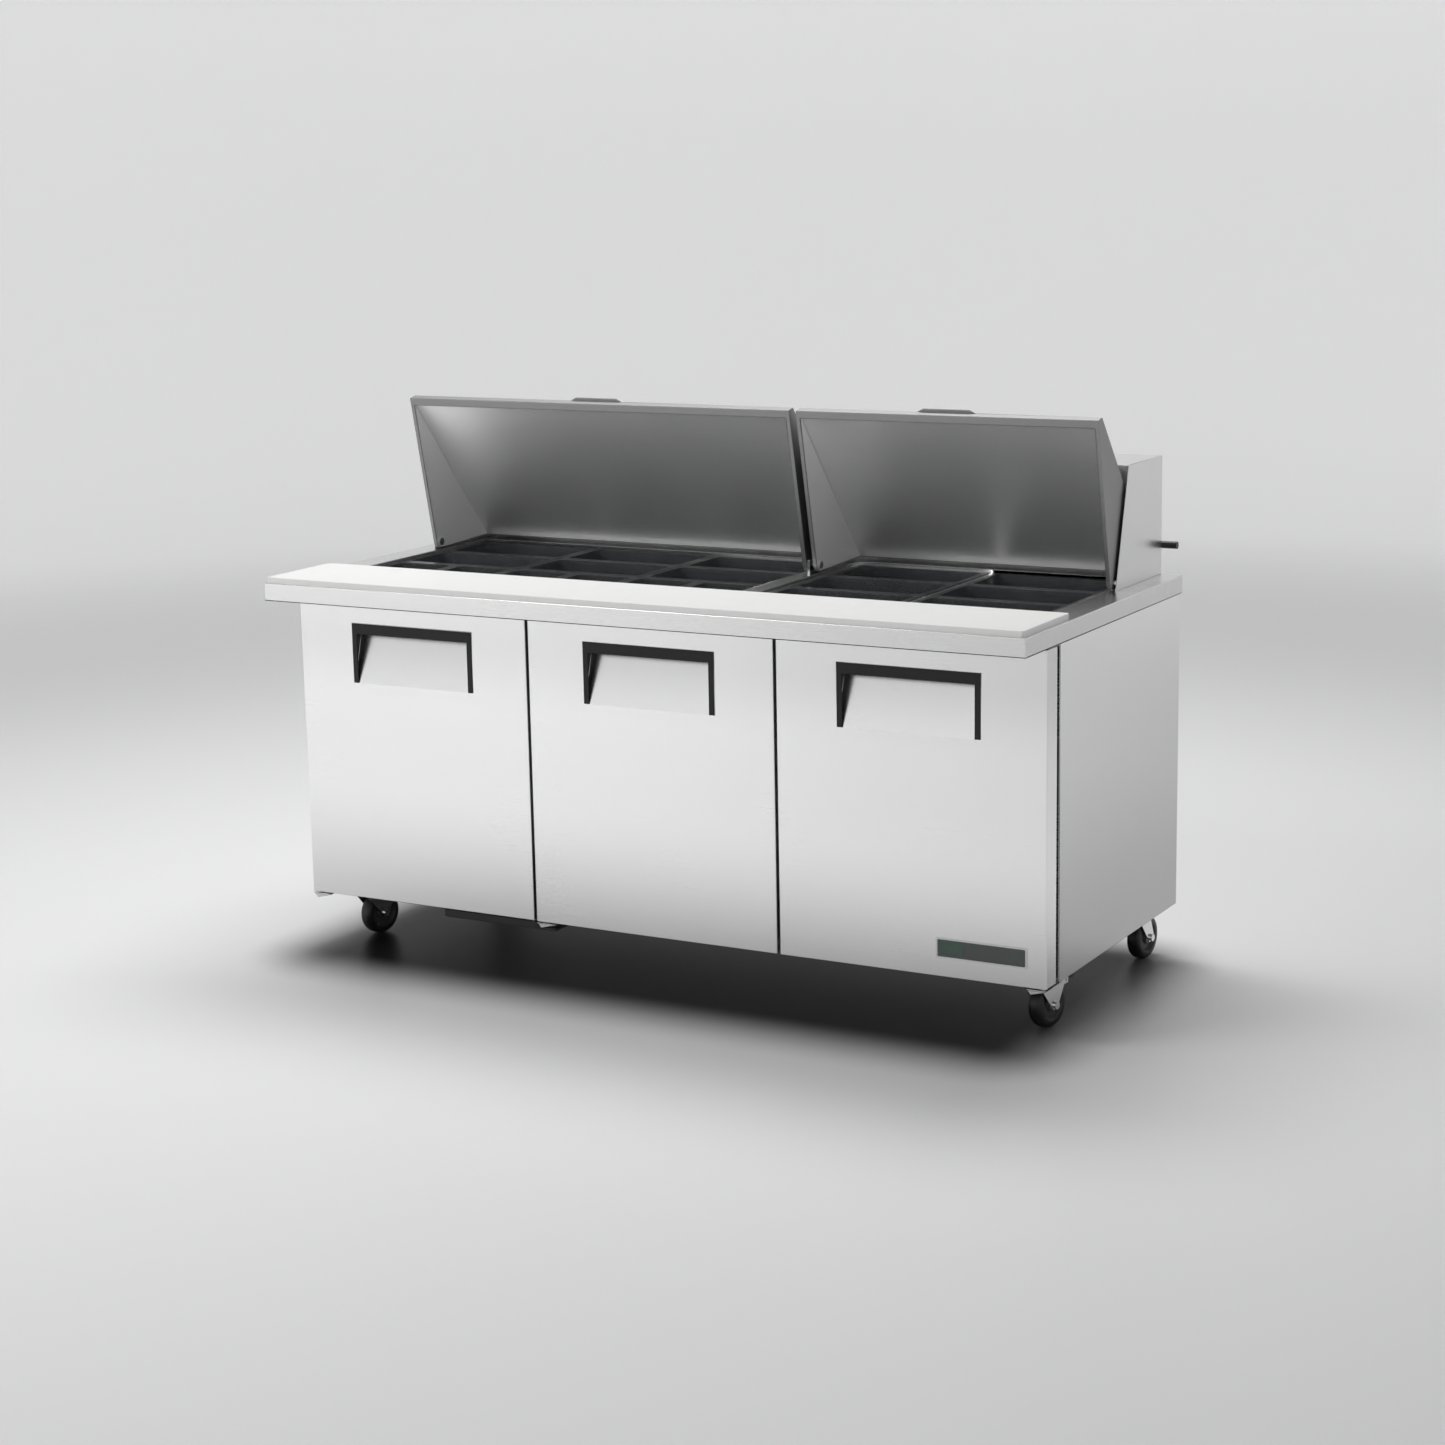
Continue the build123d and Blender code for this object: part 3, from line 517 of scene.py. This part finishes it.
def buildGasketTree():
    # a magnetic seal run round a door: flat dart strip with a soft bulb in front
    start, plugs = newTree("door_seal", {
        "Centre": "Vector", "Width": "Float", "Height": "Float", "Strip": "Vector", "Bulb": "Float"})
    run = start.node("GeometryNodeCurvePrimitiveQuadrilateral", {"mode": "RECTANGLE"},
                     {"Width": plugs["Width"], "Height": plugs["Height"]})
    strip = start.node("ShaderNodeSeparateXYZ", {}, {"Vector": plugs["Strip"]}, "X")
    deep = start.node("ShaderNodeSeparateXYZ", {}, {"Vector": plugs["Strip"]}, "Y")
    flatShape = start.node("GeometryNodeCurvePrimitiveQuadrilateral", {"mode": "RECTANGLE"},
                           {"Width": strip, "Height": deep})
    base = start.node("GeometryNodeCurveToMesh", {}, {"Curve": run, "Profile Curve": flatShape})
    bulbShape = start.node("GeometryNodeCurvePrimitiveCircle", {"mode": "RADIUS"},
                           {"Resolution": 10, "Radius": plugs["Bulb"]})
    bulb = start.node("GeometryNodeCurveToMesh", {}, {"Curve": run, "Profile Curve": bulbShape})
    forward = vector(start, 0.0, 0.0, deep * 0.5 + plugs["Bulb"] * 0.8)
    bulb = start.node("GeometryNodeTransform", {}, {"Geometry": bulb, "Translation": forward})
    body = start.node("GeometryNodeTransform", {}, {
        "Geometry": joined(start, [base, bulb]), "Translation": plugs["Centre"], "Rotation": (-math.pi / 2, 0, 0)})
    return endTree(start, plugs, body)


def buildBendTree():
    # return bends of a coil: half rings up the end of the fin block
    start, plugs = newTree("coil_bends", {
        "First": "Vector", "Last": "Vector", "Spacing": "Float", "Pipe": "Float", "Turn": "Vector"})
    arc = start.node("GeometryNodeCurveArc", {"mode": "RADIUS"}, {
        "Resolution": 9, "Radius": plugs["Spacing"] * 0.25, "Sweep Angle": math.pi}, "Curve")
    line = row(start, plugs["First"], plugs["Last"], plugs["Spacing"])
    bends = repeated(start, line, arc, Rotation=plugs["Turn"])
    flat = start.node("GeometryNodeRealizeInstances", {}, {"Geometry": bends})
    return endTree(start, plugs, swept(start, flat, plugs["Pipe"], 8))


shelfTree = buildShelfTree()
screwTree = buildScrewTree()
plateRowTree = buildPlateRowTree()
guardTree = buildGuardTree()
gasketTree = buildGasketTree()
bendTree = buildBendTree()
print("geometry trees ready")


cabinetLook = {"edge": 0.0012, "deckEdge": 0.0022, "boardEdge": 0.0035, "screw": 0.0042, "screwHigh": 0.0026}

softEdged("worktop_deck", steelDeck, cabinetLook["deckEdge"], 3, 0.02)


def addBead(name, points, radius, finishOf):
    # a round bead along straight runs; under the worktop it is a painted shadow line
    line = bpy.data.curves.new(name, "CURVE")
    line.dimensions, line.bevel_depth, line.bevel_resolution, line.use_fill_caps = "3D", radius, 2, True
    spline = line.splines.new("POLY")
    spline.points.add(len(points) - 1)
    for place, point in zip(spline.points, points):
        place.co = (*point, 1)
    holder = bpy.data.objects.new(name + "_holder", line)
    bpy.context.scene.collection.objects.link(holder)
    mesh = evaluatedMesh(holder)
    bpy.data.objects.remove(holder)
    mesh.materials.clear()
    mesh.materials.append(finishOf)
    return addPiece(name, mesh, "cabinet")


low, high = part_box("worktop_deck")
beadLook = {"inset": 0.0016, "radius": 0.0014, "drop": 0.0006, "backGap": 0.004}
beadBack, beadFront = high.y - beadLook["backGap"], low.y + beadLook["inset"]
beadLeft, beadRight = low.x + beadLook["inset"], high.x - beadLook["inset"]
beadLevel = low.z - beadLook["drop"]
# painted shadow: a black bead round the worktop's underside edge draws the shade under the overhang
addBead("worktop_edge_bead", [
    (beadLeft, beadBack, beadLevel), (beadLeft, beadFront, beadLevel),
    (beadRight, beadFront, beadLevel), (beadRight, beadBack, beadLevel),
], beadLook["radius"], sealRubberAndShadowLine)
softEdged("cutting_board", boardWhite, cabinetLook["boardEdge"], 4, 0.006)
for side in ("left", "right"):
    softEdged("side_panel_" + side, steelAlongY, cabinetLook["edge"])
softEdged("door_frame", steelAlongX, 0.001)
softEdged("pan_rails", steelDeck, 0.0007, 2, 0.01)
softEdged("rear_hood", steelHood, cabinetLook["edge"])
softEdged("hinge_support_rail", powderCoat, 0.0016, 3)
dress("base_panel", zincSheet)
dress("back_panel", zincSheet)
dress("inner_liner", linerSheet)
dress("foam_insulation", foamYellow)
dress("rear_bumper_bar", powderCoat)
dress("cord_gland", handlePlastic)


def lineOfPoints(first, last, count):
    first, last = Vector(first), Vector(last)
    return [first + (last - first) * (k / (count - 1)) for k in range(count)]


def addScrews(name, points, turn, body, radius=cabinetLook["screw"], high=cabinetLook["screwHigh"], sides=12):
    values = {"Radius": radius, "Height": high, "Sides": sides, "Turn": turn, "Finish": zincPlate}
    return grow(name, screwTree, values, body, points)


toBack = (-math.pi / 2, 0, 0)
toFront = (math.pi / 2, 0, 0)
toFloor = (math.pi, 0, 0)
low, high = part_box("back_panel")
edgeRun = []
for z in (low.z + 0.018, high.z - 0.018):
    edgeRun += lineOfPoints((low.x + 0.02, high.y, z), (high.x - 0.02, high.y, z), 11)
for x in (low.x + 0.02, high.x - 0.02):
    edgeRun += lineOfPoints((x, high.y, low.z + 0.13), (x, high.y, high.z - 0.13), 4)
addScrews("back_panel_screws", edgeRun, toBack, "cabinet")
low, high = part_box("base_panel")
footRun = lineOfPoints((low.x + 0.18, low.y + 0.03, low.z), (high.x - 0.18, low.y + 0.03, low.z), 7)
footRun += lineOfPoints((low.x + 0.18, high.y - 0.03, low.z), (high.x - 0.18, high.y - 0.03, low.z), 7)
addScrews("base_panel_screws", footRun, toFloor, "cabinet")
low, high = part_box("rear_hood")
hoodRun = lineOfPoints((low.x + 0.03, high.y, low.z + 0.012), (high.x - 0.03, high.y, low.z + 0.012), 9)
hoodRun += lineOfPoints((low.x + 0.03, high.y, high.z - 0.015), (high.x - 0.03, high.y, high.z - 0.015), 9)
addScrews("rear_hood_screws", hoodRun, toBack, "cabinet")
stayRun = [(x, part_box("rear_bumper_bar")[1].y - 0.013, z) for x in (-0.76, 0, 0.76) for z in (0.908, 0.950)]
addScrews("bumper_stay_bolts", stayRun, toBack, "cabinet", 0.0045, 0.003, 6)
print("cabinet formed")


doorLook = {"edge": 0.0016, "gripEdge": 0.0014, "sealInset": 0.0015, "stripWide": 0.022, "stripDeep": 0.005,
            "bulb": 0.0048}

for door in doorNames:
    softEdged(door + "_door_skin", steelDoor, doorLook["edge"], 3)
    softEdged(door + "_door_handle", handlePlastic, doorLook["gripEdge"], 3, 0.004)
    dress(door + "_door_core", doorLining)
    low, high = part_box(door + "_door_skin")
    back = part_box(door + "_door_gasket")[0].y
    half = doorLook["stripWide"] / 2 + doorLook["sealInset"]
    grow(door + "_door_seal", gasketTree, {
        "Centre": ((low.x + high.x) / 2, back + doorLook["stripDeep"] / 2 + 0.0002, (low.z + high.z) / 2),
        "Width": high.x - low.x - 2 * half,
        "Height": high.z - low.z - 2 * half,
        "Strip": (doorLook["stripWide"], doorLook["stripDeep"], 0),
        "Bulb": doorLook["bulb"],
        "Finish": sealRubberAndShadowLine,
    }, door + "_door", [(0, 0, 0)], [door + "_door_gasket"])
softEdged("door_hinges", zincPlate, 0.0008, 2, 0.004)
hingeRun = []
for low, high in islands("door_hinges"):
    if low.z < 0.2:
        hingeRun += [(x, high.y - 0.008, low.z + 0.0095) for x in (low.x + 0.014, high.x - 0.012)]
addScrews("hinge_foot_bolts", hingeRun, toFloor, "cabinet", 0.0042, 0.003, 6)
print("doors formed")


badgeLook = {"border": 0.004, "window": (0.012, 0.062), "proud": 0.0004}
softEdged("badge_plate", zincPlate, 0.0005, 2, 0.002)


def flatTile(name, low, high, finishOf, body, edge):
    # a thin rounded tile between two corners
    shape = bmesh.new()
    bmesh.ops.create_cube(shape, size=1.0)
    for vert in shape.verts:
        vert.co = Vector([a + (b - a) * (c + 0.5) for a, b, c in zip(low, high, vert.co)])
    upright = [e for e in shape.edges if abs((e.verts[0].co - e.verts[1].co).normalized().y) > 0.9]
    bmesh.ops.bevel(shape, geom=upright, offset=edge, segments=4, profile=0.5, affect="EDGES")
    bmesh.ops.recalc_face_normals(shape, faces=shape.faces)
    mesh = bpy.data.meshes.new(name)
    shape.to_mesh(mesh)
    shape.free()
    mesh.materials.append(finishOf)
    return addPiece(name, mesh, body)


low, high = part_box("badge_plate")
face, rim = low.y, badgeLook["border"]
flatTile("badge_face", (low.x + rim, face - badgeLook["proud"], low.z + rim),
         (high.x - rim, face + 0.0005, high.z - rim), plateDark, "right_door", 0.002)
flatTile("badge_window", (low.x + badgeLook["window"][0], face - 2 * badgeLook["proud"], low.z + 0.009),
         (low.x + badgeLook["window"][1], face, high.z - 0.009), plateGreen, "right_door", 0.0025)


lidLook = {"edge": 0.0015}
for lid in lidNames:
    softEdged(lid + "_lid_shell", steelLidShaded, lidLook["edge"], 2)
    softEdged(lid + "_lid_liner", steelLining, 0.0012, 2, 0.006, steelCheekLit)
softEdged("lid_hinges", chromePlate, 0.0008, 2, 0.004)
print("lids formed")


softEdged("sixth_size_pans", panClear, 0.0008, 2, 0.02)
softEdged("third_size_pans", panClear, 0.0008, 2, 0.02)
print("pans formed")


wheelLook = {"radius": 0.050, "half": 0.016, "rim": 0.0345, "hub": 0.014, "cap": 0.0085, "facets": 64}


def lathe(name, rings, centre, axis, facets, finishes):
    # turns (along, radius, finish) rings about an axis into one closed shape
    shape = bmesh.new()
    spin = axis.to_track_quat("Z", "Y").to_matrix()
    loops = []
    for along, radius, _ in rings:
        loops.append([shape.verts.new(centre + spin @ Vector((radius * math.cos(a), radius * math.sin(a), along)))
                      for a in (2 * math.pi * k / facets for k in range(facets))])
    for index in range(len(loops) - 1):
        for k in range(facets):
            following = (k + 1) % facets
            face = shape.faces.new((loops[index][k], loops[index][following],
                                    loops[index + 1][following], loops[index + 1][k]))
            face.material_index = rings[index][2]
            face.smooth = True
    for loop, ring in ((loops[0], rings[0]), (loops[-1], rings[-1])):
        cap = shape.faces.new(loop)
        cap.material_index = ring[2]
    bmesh.ops.recalc_face_normals(shape, faces=shape.faces)
    for edge in shape.edges:
        edge.smooth = edge.calc_face_angle(0) < math.radians(34)
    mesh = bpy.data.meshes.new(name)
    shape.to_mesh(mesh)
    shape.free()
    for finishOf in finishes:
        mesh.materials.append(finishOf)
    return mesh


def wheelRings():
    # finish of each ring: 0 tyre, 1 core, 2 bearing cap
    w, h = wheelLook, wheelLook["half"]
    side = [
        (h - 0.004, w["cap"], 2), (h - 0.001, w["cap"] + 0.001, 1), (h - 0.001, w["hub"], 1),
        (h - 0.006, w["hub"] + 0.003, 1), (h - 0.007, w["rim"] - 0.005, 1), (h - 0.001, w["rim"] - 0.001, 1),
        (h, w["rim"], 0), (h, w["rim"] + 0.006, 0), (h - 0.0015, w["radius"] - 0.0045, 0),
        (h - 0.005, w["radius"] - 0.0014, 0), (h - 0.009, w["radius"] - 0.0004, 0),
    ]
    marks = [ring[2] for ring in reversed(side)][1:] + [2]
    far = [(-along, radius, mark) for (along, radius, _), mark in zip(reversed(side), marks)]
    return side + [(0, w["radius"], 0)] + far


wheelJoints = {joint["child"]: joint for joint in frame["record"]["behaviour"]["joints"]}
for corner in cornerNames:
    low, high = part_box(corner + "_caster_wheel")
    turn = Vector(wheelJoints[corner + "_wheel"]["axis"])
    mesh = lathe(corner + "_wheel_turned", wheelRings(), (low + high) / 2, turn, wheelLook["facets"],
                 [tyreRubber, hubPlastic, zincPlate])
    addPiece(corner + "_wheel_turned", mesh, corner + "_wheel", [corner + "_caster_wheel"])
    softEdged(corner + "_caster_fork", chromePlate, 0.0007, 2, 0.004)
for corner in cornerNames[:2]:
    softEdged(corner + "_caster_brake", powderCoat, 0.0008, 2, 0.004)
softEdged("caster_plates", zincPlate, 0.0008, 2, 0.01)
boltLook = {"x": 0.039, "y": 0.031, "sunk": 0.0005, "radius": 0.0058, "high": 0.0042}
plateRun = []
for low, high in islands("caster_plates"):
    middle = (low + high) / 2
    plateRun += [(middle.x + dx, middle.y + dy, low.z + boltLook["sunk"])
                 for dx in (-boltLook["x"], boltLook["x"]) for dy in (-boltLook["y"], boltLook["y"])]
addScrews("caster_plate_bolts", plateRun, toFloor, "cabinet", boltLook["radius"], boltLook["high"], 6)
print("casters formed")


insideLook = {"wirePitch": 0.0254, "wire": 0.0015, "rail": 0.003, "finPitch": 0.0055}

for index, (low, high) in enumerate(islands("wire_shelves")):
    values = {"Low": tuple(low), "High": tuple(high), "Pitch": insideLook["wirePitch"], "Wire": insideLook["wire"],
              "Rail": insideLook["rail"], "Finish": wireCoat}
    grow(f"wire_shelf_{index}", shelfTree, values, "cabinet", [(0, 0, 0)], ["wire_shelves"])
dress("shelf_posts", linerSheet)
dress("shelf_clips", zincPlate)
dress("evaporator_case", linerSheet)
dress("evaporator_coil", finAluminium)
dress("evaporator_fan_left", handlePlastic)
dress("evaporator_fan_right", handlePlastic)
dress("thermostat_knob", handlePlastic)
low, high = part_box("evaporator_case")
for side in ("left", "right"):
    fanLow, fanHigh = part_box("evaporator_fan_" + side)
    middle = (fanLow + fanHigh) / 2
    values = {"Centre": (middle.x, low.y - 0.0015, middle.z), "Radius": 0.068, "Rings": 7, "Spokes": 6,
              "Wire": 0.0011, "Finish": wireCoat}
    grow("evaporator_guard_" + side, guardTree, values, "cabinet", [(0, 0, 0)])
values = {"Radius": 0.004, "Height": 0.0022, "Sides": 12, "Turn": toFront, "Finish": zincPlate}
caseRun = lineOfPoints((low.x + 0.015, low.y, low.z + 0.014), (high.x - 0.015, low.y, low.z + 0.014), 5)
caseRun += lineOfPoints((low.x + 0.015, low.y, high.z - 0.014), (high.x - 0.015, low.y, high.z - 0.014), 5)
grow("evaporator_case_screws", screwTree, values, "cabinet", caseRun)
low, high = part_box("evaporator_coil")
values = {"First": (low.x + 0.004, (low.y + high.y) / 2, (low.z + high.z) / 2),
          "Last": (high.x - 0.004, (low.y + high.y) / 2, (low.z + high.z) / 2), "Spacing": insideLook["finPitch"],
          "Size": (0.0004, high.y - low.y - 0.002, high.z - low.z - 0.004), "Turn": (0, 0, 0),
          "Finish": finAluminium}
grow("evaporator_fins", plateRowTree, values, "cabinet", [(0, 0, 0)])
for index, (low, high) in enumerate(islands("shelf_posts")):
    forward = low.y < 0
    face = high.y + 0.0002 if forward else low.y - 0.0002
    values = {"First": ((low.x + high.x) / 2, face, low.z + 0.04),
              "Last": ((low.x + high.x) / 2, face, high.z - 0.03),
              "Spacing": 0.0254, "Size": (0.006, 0.0006, 0.012), "Turn": (0, 0, 0), "Finish": slotDark}
    grow(f"shelf_post_slots_{index}", plateRowTree, values, "cabinet", [(0, 0, 0)])
low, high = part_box("thermostat_knob")
middle = (low + high) / 2
dialLook = {"ring": 0.022, "level": 0.655, "first": -135, "step": 30, "dots": 10}
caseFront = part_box("evaporator_case")[0].y
dialRun = [(middle.x + dialLook["ring"] * math.sin(a), caseFront,
            dialLook["level"] + dialLook["ring"] * math.cos(a))
           for a in (math.radians(dialLook["first"] + dialLook["step"] * k) for k in range(dialLook["dots"]))]
values = {"Radius": 0.0011, "Height": 0.0008, "Sides": 8, "Turn": toFront, "Finish": slotDark}
grow("thermostat_dial_dots", screwTree, values, "cabinet", dialRun)
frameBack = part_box("door_frame")[1].y
sillLook = {"bottom": 0.168, "top": 0.1775, "thick": 0.002, "sunk": 0.0012, "half": 0.2725, "edge": 0.0008}
for door, middle in zip(doorNames, (-0.6, 0.0, 0.6)):
    flatTile(door + "_sill_strip", (middle - sillLook["half"], frameBack - sillLook["sunk"], sillLook["bottom"]),
             (middle + sillLook["half"], frameBack + sillLook["thick"], sillLook["top"]),
             steelAlongX, "cabinet", sillLook["edge"])
print("inside formed")


dress("machine_tray", zincSheet)
dress("compressor", powderCoat)
dress("fan_motor", powderCoat)
dress("condenser_coil", finAluminium)
dress("condenser_fan", handlePlastic)
softEdged("rear_grille", powderCoat, 0.0005, 2, 0.01)
machineLook = {"louvreTilt": 38, "louvreDepth": 0.013, "rowPitch": 0.021, "firstRow": 0.160, "rows": 12,
               "slotHigh": 0.009}
low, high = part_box("rear_grille")
tilt = math.radians(machineLook["louvreTilt"])
for index, (left, right) in enumerate(((-0.232, -0.012), (0.012, 0.232))):
    first = machineLook["firstRow"] + machineLook["slotHigh"] + 0.0012
    values = {"First": ((left + right) / 2, high.y + 0.0028, first),
              "Last": ((left + right) / 2, high.y + 0.0028,
                       first + machineLook["rowPitch"] * (machineLook["rows"] - 1)),
              "Spacing": machineLook["rowPitch"],
              "Size": (right - left - 0.002, machineLook["louvreDepth"] * 0.8, 0.0011),
              "Turn": (-tilt, 0, 0), "Finish": powderCoat}
    grow(f"rear_louvres_{index}", plateRowTree, values, "cabinet", [(0, 0, 0)])
coverRun = []
for x in (low.x + 0.012, high.x - 0.012):
    coverRun += lineOfPoints((x, high.y, low.z + 0.02), (x, high.y, high.z - 0.02), 4)
addScrews("rear_cover_screws", coverRun, toBack, "cabinet")
low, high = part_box("condenser_coil")
middleY = high.y - 0.008
values = {"First": (low.x + 0.003, middleY, (low.z + high.z) / 2),
          "Last": (high.x - 0.003, middleY, (low.z + high.z) / 2), "Spacing": 0.0045,
          "Size": (0.0004, 0.013, high.z - low.z - 0.02), "Turn": (0, 0, 0), "Finish": finAluminium}
grow("condenser_fins", plateRowTree, values, "cabinet", [(0, 0, 0)])
for index, x in enumerate((low.x - 0.001, high.x + 0.001)):
    values = {"First": (x, high.y - 0.022, low.z + 0.03), "Last": (x, high.y - 0.022, high.z - 0.03),
              "Spacing": 0.044,
              "Pipe": 0.004, "Turn": (math.pi / 2, 0, math.pi / 2 * (-1 if index else 1)), "Finish": copperPipe}
    grow(f"condenser_bends_{index}", bendTree, values, "cabinet", [(0, 0, 0)])
print("machine compartment formed")


roomLook = {"flat": 7.0, "cove": 2.4, "wall": 5.6, "facets": 128, "glowFrom": 3.5, "glowTo": 9.0, "glow": 0.34,
            "shade": (0.80, 0.34), "shadeSoft": 0.26, "shadeDeep": 0.012}


def buildRoom():
    # a pale round studio: flat floor rising through a cove into a wall
    rings = [(0.01, 0.0), (2.5, 0.0), (roomLook["flat"], 0.0)]
    for step in range(1, 13):
        a = step / 12 * math.pi / 2
        rings.append((roomLook["flat"] + roomLook["cove"] * math.sin(a), roomLook["cove"] * (1 - math.cos(a))))
    rings.append((rings[-1][0], roomLook["wall"]))
    shape = bmesh.new()
    loops = []
    for radius, height in rings:
        loops.append([shape.verts.new((radius * math.cos(a), radius * math.sin(a), height))
                      for a in (2 * math.pi * k / roomLook["facets"] for k in range(roomLook["facets"]))])
    shape.faces.new(loops[0])
    for near, far in zip(loops, loops[1:]):
        for k in range(roomLook["facets"]):
            following = (k + 1) % roomLook["facets"]
            shape.faces.new((near[k], far[k], far[following], near[following]))
    bmesh.ops.recalc_face_normals(shape, faces=shape.faces)
    mesh = bpy.data.meshes.new("studio_room")
    shape.to_mesh(mesh)
    shape.free()
    for face in mesh.polygons:
        face.use_smooth = True
    material, start = newFinish("studio_paint")
    cloud = noise(start, 0.6, 2.0)
    place = start.node("ShaderNodeTexCoord", {}, {}, "Object")
    away = start.node("ShaderNodeVectorMath", {"operation": "LENGTH"}, {0: place}, "Value")
    glow = start.node("ShaderNodeMapRange", {"clamp": True, "interpolation_type": "SMOOTHSTEP"},
                      {0: away, 1: roomLook["glowFrom"], 2: roomLook["glowTo"], 3: 0.0, 4: 1.0})
    # painted shadow: the floor's colour darkens inside a soft rectangle round the cabinet's footprint
    under = start.node("ShaderNodeVectorMath", {"operation": "ABSOLUTE"}, {0: place})
    under = start.node("ShaderNodeVectorMath", {"operation": "SUBTRACT"}, {0: under, 1: (*roomLook["shade"], 0)})
    under = start.node("ShaderNodeVectorMath", {"operation": "MAXIMUM"}, {0: under, 1: (0, 0, 0)})
    under = start.node("ShaderNodeVectorMath", {"operation": "LENGTH"}, {0: under}, "Value")
    lit = start.node("ShaderNodeMapRange", {"clamp": True, "interpolation_type": "SMOOTHSTEP"},
                     {0: under, 1: 0.0, 2: roomLook["shadeSoft"], 3: roomLook["shadeDeep"], 4: 1.0})
    finish(start, {
        "Base Color": between(lit, grey(0.0), between(cloud, grey(0.78), grey(0.80))),
        "Roughness": 0.36 + cloud * 0.04,
        "Specular IOR Level": 0.08,
        "Emission Color": between(glow, grey(0.0), grey(roomLook["glow"])),
        "Emission Strength": 1.0,
    })
    mesh.materials.append(material)
    room = bpy.data.objects.new("studio_room", mesh)
    bpy.context.scene.collection.objects.link(room)


def addLamp(name, place, aim, size, power):
    lamp = bpy.data.lights.new(name, "AREA")
    lamp.shape, lamp.size, lamp.size_y, lamp.energy = "RECTANGLE", size[0], size[1], power
    holder = bpy.data.objects.new(name, lamp)
    holder.location = place
    holder.rotation_euler = (Vector(aim) - Vector(place)).to_track_quat("-Z", "Y").to_euler()
    holder.visible_camera = False
    bpy.context.scene.collection.objects.link(holder)


cameraLook = {"place": (3.04997, -5.449594, 1.824812), "yaw": 29.24, "pitch": 11.617, "roll": -1.111,
              "lens": 71.16}


def addCamera():
    yaw, pitch, roll = (math.radians(cameraLook[key]) for key in ("yaw", "pitch", "roll"))
    ahead = Vector((-math.sin(yaw) * math.cos(pitch), math.cos(yaw) * math.cos(pitch), -math.sin(pitch)))
    right = Vector((math.cos(yaw), math.sin(yaw), 0))
    up = right.cross(ahead)
    rolledRight = right * math.cos(roll) + up * math.sin(roll)
    rolledUp = up * math.cos(roll) - right * math.sin(roll)
    data = bpy.data.cameras.new("camera")
    data.lens, data.sensor_width = cameraLook["lens"], 36
    camera = bpy.data.objects.new("camera", data)
    turned = Matrix((rolledRight, rolledUp, -ahead)).transposed().to_4x4()
    camera.matrix_world = Matrix.Translation(cameraLook["place"]) @ turned
    bpy.context.scene.collection.objects.link(camera)
    bpy.context.scene.camera = camera


lightLook = {"sky": 0.15, "top": 150, "pool": 66, "fill": 9}

buildRoom()
addLamp("top_softbox", (-0.6, 1.3, 4.4), (-0.1, 0.1, 0.4), (3.4, 1.8), lightLook["top"])
addLamp("floor_pool", (-2.2, -3.0, 3.8), (-1.6, -2.4, 0.0), (1.8, 1.8), lightLook["pool"])
addLamp("front_fill", (-4.2, -5.3, 0.62), (0, 0, 0.5), (3.6, 0.9), lightLook["fill"])
world = bpy.data.worlds.new("studio_sky")
world.use_nodes = True
world.node_tree.nodes["Background"].inputs["Color"].default_value = (0.96, 0.97, 1.0, 1)
world.node_tree.nodes["Background"].inputs["Strength"].default_value = lightLook["sky"]
bpy.context.scene.world = world
bpy.context.scene.view_settings.view_transform = "Standard"
addCamera()
print("room, light and camera ready")
